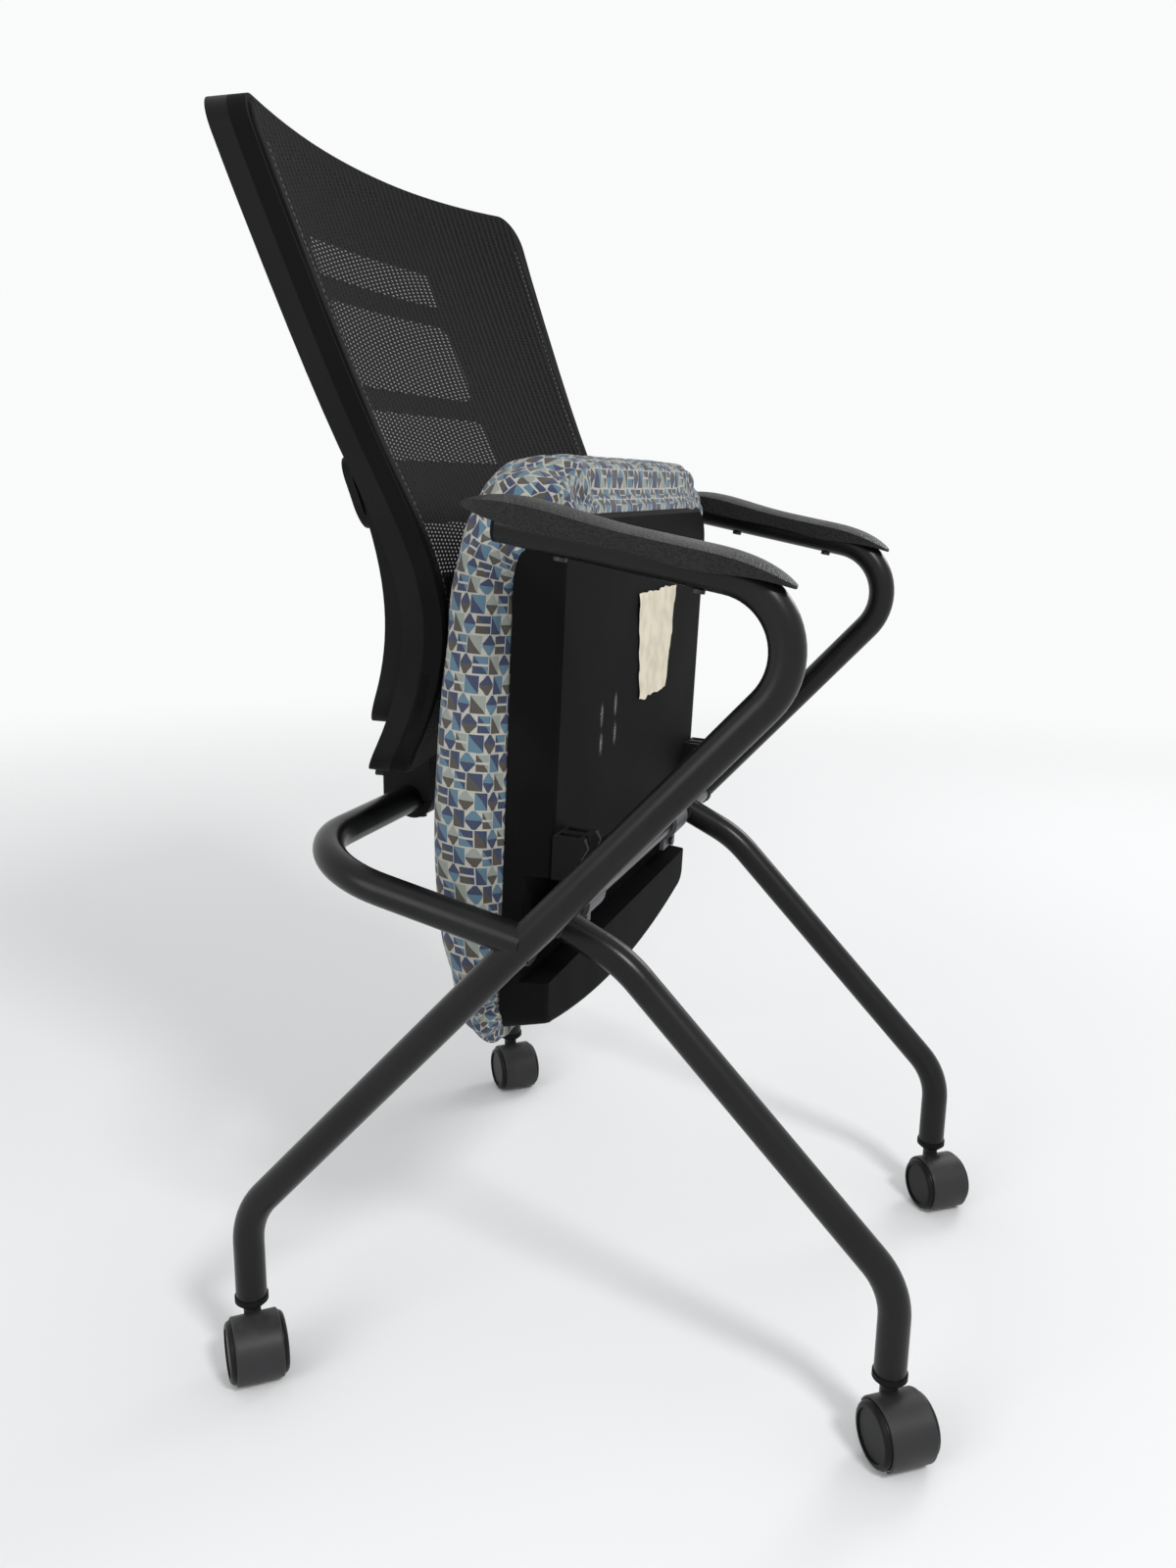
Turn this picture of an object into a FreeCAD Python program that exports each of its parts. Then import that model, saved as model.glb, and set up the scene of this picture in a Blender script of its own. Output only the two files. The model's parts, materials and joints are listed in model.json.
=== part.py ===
# Flip-seat nesting chair: bent-tube frame with arm loops, mesh back, folding seat and twin-wheel casters.
# Millimetres and degrees. +Z is up, the chair faces -Y, and the origin is on the floor midway between
# the four caster stems. Right is the sitter's right (-X). The seat is drawn flipped up.
import FreeCAD, Part

import math
import os

import Sketcher
from FreeCAD import Placement, Rotation, Vector

SIZES = {
    # bent tubes
    "tube_diameter": 25.0,
    "tube_wall": 2.0,
    "stance_depth": 253.4,
    "leg_end_height": 64.0,
    "leg_bend_radius": 65.0,
    "rear_leg_spread": 276.0,
    "toe_angle": 3.17,
    "rear_bend_height": 138.2,
    "diagonal_angle": 47.84,
    "hairpin_radius": 50.0,
    "arm_pitch": 10.6,
    "arm_end_depth": 35.0,
    "arm_end_height": 690.9,
    "front_leg_spread": 188.0,
    "front_bend_height": 135.6,
    "knee_reach": 56.8,
    "knee_drop_angle": 26.0,
    "knee_radius": 110.0,
    "pivot_height": 392.0,
    "u_spread": 264.0,
    "u_reach": 188.0,
    "u_rise_angle": 12.7,
    "u_lift": 8.0,
    "u_start": -6.0,
    "u_bend_radius": 78.0,
    # arm pads
    "pad_length": 229.0,
    "pad_width": 48.0,
    "pad_height": 17.8,
    "pad_rear_overhang": 28.0,
    "plug_flange": 2.5,
    "plug_depth": 14.0,
    "pad_screw_diameter": 5.0,
    "pad_screw_head": 9.0,
    "pad_screw_first": 45.0,
    "pad_screw_pitch": 95.0,
    "pad_screw_grip": 2.6,
    # casters
    "stem_diameter": 11.0,
    "stem_fit": 0.05,
    "stem_rise": 32.0,
    "socket_depth": 40.0,
    "socket_wall_fit": 0.02,
    "collar_diameter": 27.2,
    "collar_height": 7.0,
    "collar_taper": 2.6,
    "neck_diameter": 14.0,
    "neck_gap": 0.4,
    "wheel_diameter": 50.0,
    "wheel_width": 16.2,
    "wheel_round": 4.5,
    "wheel_ring_width": 5.4,
    "wheel_dish": 1.3,
    "wheel_side_gap": 0.3,
    "axle_diameter": 6.0,
    "axle_fit": 0.05,
    "axle_wheel_depth": 10.5,
    "axle_end_gap": 0.5,
    "caster_trail": 16.0,
    "hood_wall": 1.6,
    "hood_gap": 0.7,
    "hood_width": 38.0,
    "hood_round": 1.5,
    "hood_low_angle": 44.0,
    "hood_stem_angle": 152.0,
    "web_width": 13.0,
    "hub_diameter": 15.0,
    "front_caster_turn": -143.0,
    "rear_caster_turn": -138.0,
    # seat, measured from the pivot axis with the seat flat
    "seat_fold": 88.0,
    "seat_travel": 86.0,
    "shell_drop": 2.4,
    "shell_rim": 33.0,
    "shell_width": 422.0,
    "shell_draft": 8.0,
    "shell_front": 313.0,
    "shell_rear": 115.0,
    "shell_bow": 18.0,
    "shell_front_round": 45.0,
    "shell_rear_round": 26.0,
    "shell_wall": 3.0,
    "shell_edge_round": 5.0,
    "channel_front": 36.0,
    "channel_rear": 50.0,
    "channel_roof": 19.0,
    "board_thickness": 12.0,
    "board_margin": 4.0,
    "cushion_width": 460.0,
    "cushion_front": 343.0,
    "cushion_rear": 120.0,
    "cushion_bow": 8.0,
    "cushion_height": 63.0,
    "cushion_crest": 2.0,
    "cushion_fall": 35.0,
    "cushion_front_round": 110.0,
    "cushion_rear_round": 58.0,
    "cushion_top_round": 26.0,
    "cushion_base_round": 9.0,
    "cushion_lip_level": 4.0,
    "cushion_lip_start": 225.0,
    "cushion_lip_slope": 55.0,
    "cushion_lip_gap": 0.6,
    "rest_width": 32.0,
    "rest_front": 70.0,
    "rest_lip": 7.0,
    "rest_cheek_rise": 3.0,
    "rest_gap": 0.4,
    "rest_slot_width": 8.0,
    "rest_slot_depth": 12.0,
    "rest_slot_drop": 20.0,
    "bearing_spread": 130.0,
    "bearing_width": 40.0,
    "bearing_half": 27.0,
    "bearing_fit": 0.08,
    "strap_wall": 4.0,
    "strap_split": 0.4,
    "strap_screw_diameter": 5.0,
    "strap_screw_head": 9.0,
    "strap_screw_length": 12.0,
    # back, as a front surface that the layers stand behind; levels are above its foot, which stands above
    # the U-tube, and reaches are forward of the U-tube
    "back_rise": 52.7,
    "back_height": 477.0,
    "back_corner_rise": 9.0,
    "back_top_width": 494.0,
    "back_bottom_width": 408.0,
    "back_corner": 26.0,
    "back_foot_reach": 73.0,
    "back_lumbar_reach": 112.6,
    "back_top_setback": 26.0,
    "back_sag": 33.0,
    "mesh_thickness": 2.0,
    "mesh_margin": 1.0,
    "carrier_depth": 15.0,
    "carrier_rail": 22.0,
    "frame_depth": 18.0,
    "frame_rail": 16.0,
    "frame_skin": 4.0,
    "frame_window_width": 236.0,
    "frame_window_level": 58.0,
    "frame_window_height": 358.0,
    "window_corner": 18.0,
    "support_level": 38.0,
    "support_height": 392.0,
    "support_top_width": 408.0,
    "support_bottom_width": 400.0,
    "support_top_depth": 4.0,
    "support_foot_depth": 18.0,
    "support_waist_depth": 6.0,
    "support_window_width": 232.0,
    "bar_upper_drop": 40.0,
    "bar_middle_drop": 126.0,
    "bar_lumbar_drop": 190.0,
    "bar_height": 18.0,
    "support_window_level": 100.0,
    "support_window_height": 314.0,
    "lumbar_width": 408.0,
    "lumbar_level": 214.0,
    "lumbar_height": 52.0,
    "lumbar_depth": 7.0,
    # bracket that carries the back on the U-tube
    "bracket_width": 124.0,
    "bracket_height": 144.0,
    "bracket_depth": 10.0,
    "saddle_width": 140.0,
    "saddle_half": 21.0,
    "saddle_rise": 46.0,
    "clamp_width": 126.0,
    "clamp_wall": 7.0,
    "clamp_split": 0.6,
    "clamp_bolt_diameter": 6.0,
    "clamp_bolt_head": 10.0,
    "clamp_bolt_head_height": 4.0,
    "clamp_bolt_recess": 1.5,
    "clamp_bolt_spread": 45.0,
    "clamp_bolt_grip": 20.0,
    "bracket_screw_diameter": 6.0,
    "bracket_screw_head": 11.0,
    "bracket_screw_head_height": 3.0,
    "bracket_screw_spread": 42.0,
    "bracket_screw_low_level": 64.0,
    "bracket_screw_high_level": 86.0,
    "bracket_screw_grip": 9.0,
}

FORMULAS = {
    "tube_bore": "=tube_diameter - 2 * tube_wall",
    "tube_radius": "=tube_diameter / 2",
    "front_leg_depth": "=-stance_depth",
    "side_offset": "=rear_leg_spread - stance_depth * sin(toe_angle)",
    "pivot_along": "=stance_depth - (pivot_height - rear_bend_height) / tan(diagonal_angle)",
    "pivot_depth": "=pivot_along * cos(toe_angle)",
    "pivot_spread": "=side_offset + pivot_along * sin(toe_angle)",
    "hairpin_along": "=(rear_bend_height + stance_depth * tan(diagonal_angle) - arm_end_height"
                     " + arm_end_depth * tan(arm_pitch)) / (tan(diagonal_angle) + tan(arm_pitch))",
    "hairpin_height": "=arm_end_height + (hairpin_along - arm_end_depth) * tan(arm_pitch)",
    "knee_depth": "=pivot_depth - knee_reach",
    "knee_height": "=pivot_height - knee_reach * tan(knee_drop_angle)",
    "u_right": "=-u_spread",
    "u_depth": "=pivot_depth + u_reach * cos(u_rise_angle)",
    "u_height": "=pivot_height + u_lift + u_reach * sin(u_rise_angle)",
    # back levels and depths in the chair's frame
    "back_bottom": "=u_height + back_rise",
    "back_top": "=back_bottom + back_height",
    "back_foot_depth": "=u_depth - back_foot_reach",
    "back_lumbar_depth": "=u_depth - back_lumbar_reach",
    "back_top_depth": "=u_depth + back_top_setback",
    "frame_window_bottom": "=back_bottom + frame_window_level",
    "frame_window_top": "=frame_window_bottom + frame_window_height",
    "support_bottom": "=back_bottom + support_level",
    "support_top": "=support_bottom + support_height",
    "support_window_bottom": "=back_bottom + support_window_level",
    "support_window_top": "=support_window_bottom + support_window_height",
    "bar_upper": "=support_window_top - bar_upper_drop",
    "bar_middle": "=support_window_top - bar_middle_drop",
    "bar_lumbar": "=support_window_top - bar_lumbar_drop",
    "lumbar_middle": "=back_bottom + lumbar_level",
    "bracket_top": "=back_bottom + bracket_height",
    "bracket_screw_low": "=back_bottom + bracket_screw_low_level",
    "bracket_screw_high": "=back_bottom + bracket_screw_high_level",
    # profiles turned about an upright axis: socket, wheel
    "stem_bore_radius": "=stem_diameter / 2 + stem_fit",
    "socket_radius": "=tube_bore / 2 - socket_wall_fit",
    "socket_top": "=leg_end_height + socket_depth",
    "collar_radius": "=collar_diameter / 2",
    "collar_low": "=leg_end_height - collar_height",
    "collar_shoulder": "=collar_low + collar_taper",
    "collar_foot_radius": "=collar_radius - collar_taper",
    "wheel_radius": "=wheel_diameter / 2",
    "wheel_ring_radius": "=wheel_radius - wheel_ring_width",
    "wheel_dish_level": "=wheel_width - wheel_dish",
    "axle_bore_radius": "=axle_diameter / 2 + axle_fit",
    "axle_bore_depth": "=axle_wheel_depth + axle_end_gap",
    "wheel_inset": "=neck_diameter / 2 + wheel_side_gap",
    # rest block in the plane across the seat, rearward and upward
    "rest_angle": "=knee_drop_angle + seat_fold - seat_travel",
    "rest_back_edge": "=-channel_front",
    "rest_front_edge": "=-rest_front",
    "rest_seat_level": "=-shell_drop",
    "rest_back_low": "=-channel_front * tan(rest_angle) + rest_cheek_rise",
    "rest_front_low": "=-rest_front * tan(rest_angle) + rest_cheek_rise + rest_lip",
    "rest_lip_edge": "=-rest_front + rest_lip",
    "rest_lip_low": "=(-rest_front + rest_lip) * tan(rest_angle) + rest_cheek_rise",
    "bearing_bore": "=tube_diameter / 2 + bearing_fit",
}

# Arm pad along its length from the rear tip: share of the length, then shares of the width and of the
# height above the tube's axis for edge, crest and skirt.
PAD_SECTIONS = [
    (0.00, 0.29, 0.50, 0.57, 0.42),
    (0.058, 0.71, 0.74, 0.91, 0.27),
    (0.18, 0.92, 0.92, 1.18, 0.12),
    (0.39, 0.98, 0.83, 1.06, 0.10),
    (0.60, 1.00, 0.76, 0.98, 0.10),
    (0.79, 0.96, 0.75, 0.98, 0.10),
    (0.893, 0.79, 0.59, 0.81, 0.20),
    (0.967, 0.50, 0.34, 0.48, 0.14),
    (1.00, 0.17, 0.18, 0.225, 0.07),
]
# Side view of the back's front edge: share of the height, then the depth as shares of the foot's and of the
# top's setback from the lumbar point.
BACK_PROFILE = [
    (-0.125, 1.90, 0.0),
    (0.0, 1.0, 0.0),
    (0.153, 0.17, 0.0),
    (0.258, 0.0, 0.0),
    (0.497, 0.0, 0.288),
    (0.774, 0.0, 0.70),
    (1.0, 0.0, 1.0),
    (1.05, 0.0, 1.06),
]
BACK_SLICES = 6
BACK_SPILL = 1.04

SIDES = {"right": -1, "left": 1}
TURN_X = Vector(1, 0, 0)
TURN_Y = Vector(0, 1, 0)
TURN_Z = Vector(0, 0, 1)

doc = FreeCAD.newDocument("nesting_chair")
sheet = doc.addObject("Spreadsheet::Sheet", "sizes")
for row, (name, value) in enumerate({**SIZES, **FORMULAS}.items(), start=1):
    sheet.set(f"A{row}", name)
    sheet.set(f"B{row}", str(value))
    sheet.setAlias(f"B{row}", name)
doc.recompute()

nodes = {}


def size(name):
    return float(getattr(sheet, name))


def keep(thing, label):
    """Name a finished sub-part and list it for export."""
    thing.Label = label
    nodes[label] = thing
    return thing


def sized(kind, name, place=None, **links):
    """Add an object whose properties follow expressions on the sheet."""
    thing = doc.addObject(kind, name)
    for prop, expression in links.items():
        thing.setExpression(prop, expression)
    if place is not None:
        thing.Placement = place
    return thing


def shaped(name, shape, place=None):
    thing = doc.addObject("Part::Feature", name)
    thing.Shape = shape
    if place is not None:
        thing.Placement = place
    return thing


def fuse(name, *pieces):
    thing = doc.addObject("Part::MultiFuse", name)
    thing.Shapes = list(pieces)
    return thing


def cut(name, base, *tools):
    thing = doc.addObject("Part::Cut", name)
    thing.Base = base
    thing.Tool = tools[0] if len(tools) == 1 else fuse(name + "_tools", *tools)
    return thing


def common(name, base, tool):
    thing = doc.addObject("Part::Common", name)
    thing.Base = base
    thing.Tool = tool
    return thing


def group(name, pieces):
    """Identical fasteners kept together as separate solids."""
    thing = doc.addObject("Part::Compound", name)
    thing.Links = pieces
    return thing


def rod(name, diameter, length, place):
    return sized("Part::Cylinder", name, place, Radius=f"({diameter}) / 2", Height=length)


def block(name, corner, place, length, width, height):
    return sized("Part::Box", name, place * Placement(corner, Rotation()),
                 Length=length, Width=width, Height=height)


def origin_plane(body, role):
    return next(feature for feature in body.Origin.OriginFeatures if feature.Role == role)


def sketch_on(body, role, name):
    sketch = body.newObject("Sketcher::SketchObject", name)
    sketch.AttachmentSupport = [(origin_plane(body, role), "")]
    sketch.MapMode = "FlatFace"
    return sketch


def pin(sketch, geometry, point, across, up):
    """Hold a sketch point at two sheet values; a missing value puts it on that axis."""
    for kind, cell, axis in (("DistanceX", across, -2), ("DistanceY", up, -1)):
        if cell is None:
            sketch.addConstraint(Sketcher.Constraint("PointOnObject", geometry, point, axis))
        else:
            index = sketch.addConstraint(
                Sketcher.Constraint(kind, -1, 1, geometry, point, size(cell)))
            sketch.setExpression(f"Constraints[{index}]", "sizes." + cell)


def place_of(across, up):
    return Vector(size(across) if across else 0, size(up) if up else 0, 0)


def draw_polygon(sketch, corners):
    """Closed outline of straight edges through corners given as sheet names."""
    points = [place_of(*corner) for corner in corners]
    count = len(points)
    lines = [sketch.addGeometry(Part.LineSegment(points[i], points[(i + 1) % count]))
             for i in range(count)]
    for i in range(count):
        sketch.addConstraint(Sketcher.Constraint("Coincident", lines[i], 2, lines[(i + 1) % count], 1))
        pin(sketch, lines[i], 1, *corners[i])


def draw_path(sketch, corners, bends):
    """Open run of straight lengths joined by tangent bends."""
    points = [place_of(*corner) for corner in corners]
    start = points[0]
    line = arc = arc_exit = None
    for i, bend in enumerate(bends, start=1):
        inward = (points[i] - points[i - 1]).normalize()
        outward = (points[i + 1] - points[i]).normalize()
        radius = size(bend)
        setback = radius * math.tan(inward.getAngle(outward) / 2)
        entry = points[i] - inward * setback
        leave = points[i] + outward * setback
        left = inward.cross(outward).z > 0
        side = Vector(-inward.y, inward.x, 0) * (1 if left else -1)
        centre = entry + side * radius
        first, last = (entry, leave) if left else (leave, entry)
        begin = math.atan2(first.y - centre.y, first.x - centre.x)
        end = math.atan2(last.y - centre.y, last.x - centre.x)
        if end < begin:
            end += 2 * math.pi
        line = sketch.addGeometry(Part.LineSegment(start, entry))
        if i == 1:
            pin(sketch, line, 1, *corners[0])
        else:
            sketch.addConstraint(Sketcher.Constraint("Tangent", arc, arc_exit, line, 1))
            sketch.addConstraint(Sketcher.Constraint("PointOnObject", corner_mark, 1, line))
        circle = Part.Circle(centre, TURN_Z, radius)
        arc = sketch.addGeometry(Part.ArcOfCircle(circle, begin, end))
        arc_exit = 2 if left else 1
        sketch.addConstraint(Sketcher.Constraint("Tangent", line, 2, arc, 1 if left else 2))
        index = sketch.addConstraint(Sketcher.Constraint("Radius", arc, radius))
        sketch.setExpression(f"Constraints[{index}]", "sizes." + bend)
        corner_mark = sketch.addGeometry(Part.Point(points[i]), True)
        sketch.addConstraint(Sketcher.Constraint("PointOnObject", corner_mark, 1, line))
        pin(sketch, corner_mark, 1, *corners[i])
        start = leave
    line = sketch.addGeometry(Part.LineSegment(start, points[-1]))
    sketch.addConstraint(Sketcher.Constraint("Tangent", arc, arc_exit, line, 1))
    sketch.addConstraint(Sketcher.Constraint("PointOnObject", corner_mark, 1, line))
    pin(sketch, line, 2, *corners[-1])


def bent_rod(name, plane, corners, bends, diameter, place):
    """Round section swept along a bent path that starts square to an origin plane."""
    body = doc.addObject("PartDesign::Body", name)
    path = sketch_on(body, plane, name + "_path")
    draw_path(path, corners, bends)
    across, up = corners[0]
    if plane == "YZ_Plane":
        section = sketch_on(body, "XY_Plane", name + "_section")
        section.setExpression("AttachmentOffset.Base.y", "sizes." + across)
        section.setExpression("AttachmentOffset.Base.z", "sizes." + up)
    else:
        section = sketch_on(body, "XZ_Plane", name + "_section")
        section.setExpression("AttachmentOffset.Base.x", "sizes." + across)
        section.setExpression("AttachmentOffset.Base.z", "-sizes." + up)
    ring = section.addGeometry(Part.Circle(Vector(), TURN_Z, size(diameter) / 2))
    section.addConstraint(Sketcher.Constraint("Coincident", ring, 3, -1, 1))
    index = section.addConstraint(Sketcher.Constraint("Diameter", ring, size(diameter)))
    section.setExpression(f"Constraints[{index}]", "sizes." + diameter)
    pipe = body.newObject("PartDesign::AdditivePipe", name + "_pipe")
    pipe.Profile = section
    pipe.Spine = path
    body.Placement = place
    return body


def turned(name, corners, place):
    """Outline of radius and height turned about the upright axis."""
    body = doc.addObject("PartDesign::Body", name)
    outline = sketch_on(body, "XZ_Plane", name + "_outline")
    draw_polygon(outline, corners)
    revolution = body.newObject("PartDesign::Revolution", name + "_turn")
    revolution.Profile = outline
    revolution.ReferenceAxis = (outline, ["V_Axis"])
    revolution.Angle = 360
    body.Placement = place
    return body


def level(rise):
    return Placement(Vector(0, 0, rise), Rotation())


def upright_edges(shape, direction):
    """Straight edges that run along a direction."""
    straight = [edge for edge in shape.Edges if edge.Curve.TypeId == "Part::GeomLine"]
    return [edge for edge in straight if abs(edge.tangentAt(edge.FirstParameter).dot(direction)) > 0.999]


# Side tubes: rear leg, diagonal, hairpin and arm run in one bent tube, toed in towards the front.
SIDE_CORNERS = [
    ("stance_depth", "leg_end_height"),
    ("stance_depth", "rear_bend_height"),
    ("hairpin_along", "hairpin_height"),
    ("arm_end_depth", "arm_end_height"),
]
SIDE_BENDS = ["leg_bend_radius", "hairpin_radius"]
LEG_CORNERS = [
    ("front_leg_depth", "leg_end_height"),
    ("front_leg_depth", "front_bend_height"),
    ("knee_depth", "knee_height"),
    ("pivot_depth", "pivot_height"),
]
LEG_BENDS = ["leg_bend_radius", "knee_radius"]
U_CORNERS = [("u_right", "u_start"), ("u_right", "u_reach"), ("u_spread", "u_reach"), ("u_spread", "u_start")]
U_BENDS = ["u_bend_radius", "u_bend_radius"]

side_places = {}
for side, sign in SIDES.items():
    side_places[side] = Placement(Vector(sign * size("side_offset"), 0, 0),
                                  Rotation(TURN_Z, -sign * size("toe_angle")))


def arm_place(side):
    """Frame at the arm tube's rear end with its Y along the tube, rearward."""
    end = Vector(0, size("arm_end_depth"), size("arm_end_height"))
    return side_places[side] * Placement(end, Rotation(TURN_X, size("arm_pitch")))


def pad_shape():
    """Loft along the arm: crowned in the middle, beaked at the front, tapered at the rear."""
    wires = []
    for along, width, edge, crest, skirt in PAD_SECTIONS:
        y = size("pad_rear_overhang") - along * size("pad_length")
        half = width * size("pad_width") / 2
        low, shoulder, top = (share * size("pad_height") for share in (skirt, edge, crest))
        foot_right, foot_left = Vector(-half, y, low), Vector(half, y, low)
        edge_left, edge_right = Vector(half, y, shoulder), Vector(-half, y, shoulder)
        wires.append(Part.Wire([
            Part.makeLine(foot_right, foot_left),
            Part.makeLine(foot_left, edge_left),
            Part.Arc(edge_left, Vector(0, y, top), edge_right).toShape(),
            Part.makeLine(edge_right, foot_right),
        ]))
    return Part.makeLoft(wires, True, False)


def arm_side(side):
    """Side tube with its arm pad, end plug and pad screws."""
    outer = bent_rod(f"side_rod_{side}", "YZ_Plane", SIDE_CORNERS, SIDE_BENDS, "tube_diameter",
                     side_places[side])
    bore = bent_rod(f"side_bore_{side}", "YZ_Plane", SIDE_CORNERS, SIDE_BENDS, "tube_bore",
                    side_places[side])
    at_end = arm_place(side)
    rearward = Rotation(TURN_X, -90)
    flange = rod(f"plug_flange_{side}", "sizes.tube_diameter", "sizes.plug_flange",
                 at_end * Placement(Vector(), rearward))
    spigot = rod(f"plug_spigot_{side}", "sizes.tube_bore", "sizes.plug_depth",
                 at_end * Placement(Vector(0, -size("plug_depth"), 0), rearward))
    plug = keep(fuse(f"arm_plug_{side}", flange, spigot), f"arm_plug_{side}")
    screws = []
    head_drop = size("tube_radius") + size("pad_screw_grip")
    for number in range(2):
        along = -size("pad_screw_first") - number * size("pad_screw_pitch")
        foot = at_end * Placement(Vector(0, along, -head_drop), Rotation())
        head = rod(f"pad_screw_head_{side}_{number}", "sizes.pad_screw_head", "sizes.pad_screw_grip", foot)
        shank = rod(f"pad_screw_shank_{side}_{number}", "sizes.pad_screw_diameter",
                    "sizes.tube_diameter + 2 * sizes.pad_screw_grip", foot)
        screws.append(fuse(f"pad_screw_{side}_{number}", head, shank))
    hollow = cut(f"side_hollow_{side}", outer, bore)
    keep(cut(f"side_tube_{side}", hollow, *screws), f"side_tube_{side}")
    pad = shaped(f"pad_form_{side}", pad_shape(), at_end)
    keep(cut(f"arm_pad_{side}", pad, outer, plug, *screws), f"arm_pad_{side}")
    return outer, screws


arms = {side: arm_side(side) for side in SIDES}
side_rods = {side: arms[side][0] for side in SIDES}
keep(group("pad_screws", arms["right"][1] + arms["left"][1]), "pad_screws")

# Cross tube on the pivot axis, coped to both side tubes.
cross_start = Placement(Vector(-size("pivot_spread"), size("pivot_depth"), size("pivot_height")),
                        Rotation(TURN_Y, 90))
cross_rod = rod("cross_rod", "sizes.tube_diameter", "2 * sizes.pivot_spread", cross_start)
cross_bore = rod("cross_bore", "sizes.tube_bore", "2 * sizes.pivot_spread", cross_start)
keep(cut("cross_tube", cross_rod, cross_bore, *side_rods.values()), "cross_tube")

# Front legs, coped to the cross tube.
for side, sign in SIDES.items():
    leg_place = Placement(Vector(sign * size("front_leg_spread"), 0, 0), Rotation())
    leg_rod = bent_rod(f"leg_rod_{side}", "YZ_Plane", LEG_CORNERS, LEG_BENDS, "tube_diameter", leg_place)
    leg_bore = bent_rod(f"leg_bore_{side}", "YZ_Plane", LEG_CORNERS, LEG_BENDS, "tube_bore", leg_place)
    keep(cut(f"front_leg_{side}", leg_rod, leg_bore, cross_rod), f"front_leg_{side}")

# U-tube behind the pivot, coped to the side tubes and the cross tube.
u_place = Placement(Vector(0, size("pivot_depth"), size("pivot_height") + size("u_lift")),
                    Rotation(TURN_X, size("u_rise_angle")))
u_rod = bent_rod("u_rod", "XY_Plane", U_CORNERS, U_BENDS, "tube_diameter", u_place)
u_bore = bent_rod("u_bore", "XY_Plane", U_CORNERS, U_BENDS, "tube_bore", u_place)

# Casters: socket in the leg end, then stem, hood, axle and two wheels about the stem's axis.
SOCKET_OUTLINE = [
    ("stem_bore_radius", "collar_low"),
    ("collar_foot_radius", "collar_low"),
    ("collar_radius", "collar_shoulder"),
    ("collar_radius", "leg_end_height"),
    ("socket_radius", "leg_end_height"),
    ("socket_radius", "socket_top"),
    ("stem_bore_radius", "socket_top"),
]
WHEEL_OUTLINE = [
    ("axle_bore_radius", None),
    ("wheel_radius", None),
    ("wheel_radius", "wheel_width"),
    ("wheel_ring_radius", "wheel_width"),
    ("wheel_ring_radius", "wheel_dish_level"),
    (None, "wheel_dish_level"),
    (None, "axle_bore_depth"),
    ("axle_bore_radius", "axle_bore_depth"),
]


def caster_hood(corner, place):
    """Shell over the wheels, web between them, hub for the axle and neck for the stem."""
    axle_centre = Vector(size("caster_trail"), 0, size("wheel_radius"))

    def across(width, start_angle):
        """Frame whose Z runs along the axle, set back by half a width and turned to an angle."""
        lying = Rotation(TURN_X, 90) * Rotation(TURN_Z, start_angle)
        return place * Placement(axle_centre + Vector(0, width / 2, 0), lying)

    inner = "(sizes.wheel_diameter + 2 * sizes.hood_gap)"
    outer = f"{inner} + 2 * sizes.hood_wall"
    sweep = "sizes.hood_low_angle + sizes.hood_stem_angle"
    drum = rod(f"hood_drum_{corner}", outer, "sizes.hood_width",
               across(size("hood_width"), -size("hood_low_angle")))
    drum.setExpression("Angle", sweep)
    doc.recompute()
    rounded = doc.addObject("Part::Fillet", f"hood_rounded_{corner}")
    rounded.Base = drum
    rims = [number for number, edge in enumerate(drum.Shape.Edges, start=1)
            if edge.Curve.TypeId == "Part::GeomCircle"]
    rounded.Edges = [(number, size("hood_round"), size("hood_round")) for number in rims]
    space = rod(f"hood_space_{corner}", inner, "sizes.hood_width", across(size("hood_width"), 0))
    shell = cut(f"hood_shell_{corner}", rounded, space)
    web = rod(f"hood_web_{corner}", f"{inner} + sizes.hood_wall", "sizes.web_width",
              across(size("web_width"), 0))
    web.setExpression("Angle", "sizes.hood_stem_angle")
    hub = rod(f"hood_hub_{corner}", "sizes.hub_diameter", "sizes.web_width", across(size("web_width"), 0))
    neck = rod(f"hood_neck_{corner}", "sizes.neck_diameter",
               "sizes.collar_low - sizes.neck_gap - sizes.wheel_radius",
               place * level(size("wheel_radius")))
    axle_length = "2 * (sizes.wheel_inset + sizes.axle_wheel_depth)"
    half_axle = size("wheel_inset") + size("axle_wheel_depth")
    axle = keep(rod(f"caster_axle_{corner}", "sizes.axle_diameter", axle_length, across(2 * half_axle, 0)),
                f"caster_axle_{corner}")
    stem_foot = size("wheel_radius") + size("hub_diameter") / 2
    stem = keep(rod(f"caster_stem_{corner}", "sizes.stem_diameter",
                    "sizes.leg_end_height + sizes.stem_rise - sizes.wheel_radius - sizes.hub_diameter / 2",
                    place * level(stem_foot)), f"caster_stem_{corner}")
    moulding = fuse(f"hood_moulding_{corner}", shell, web, hub, neck)
    keep(cut(f"caster_hood_{corner}", moulding, axle, stem), f"caster_hood_{corner}")


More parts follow.
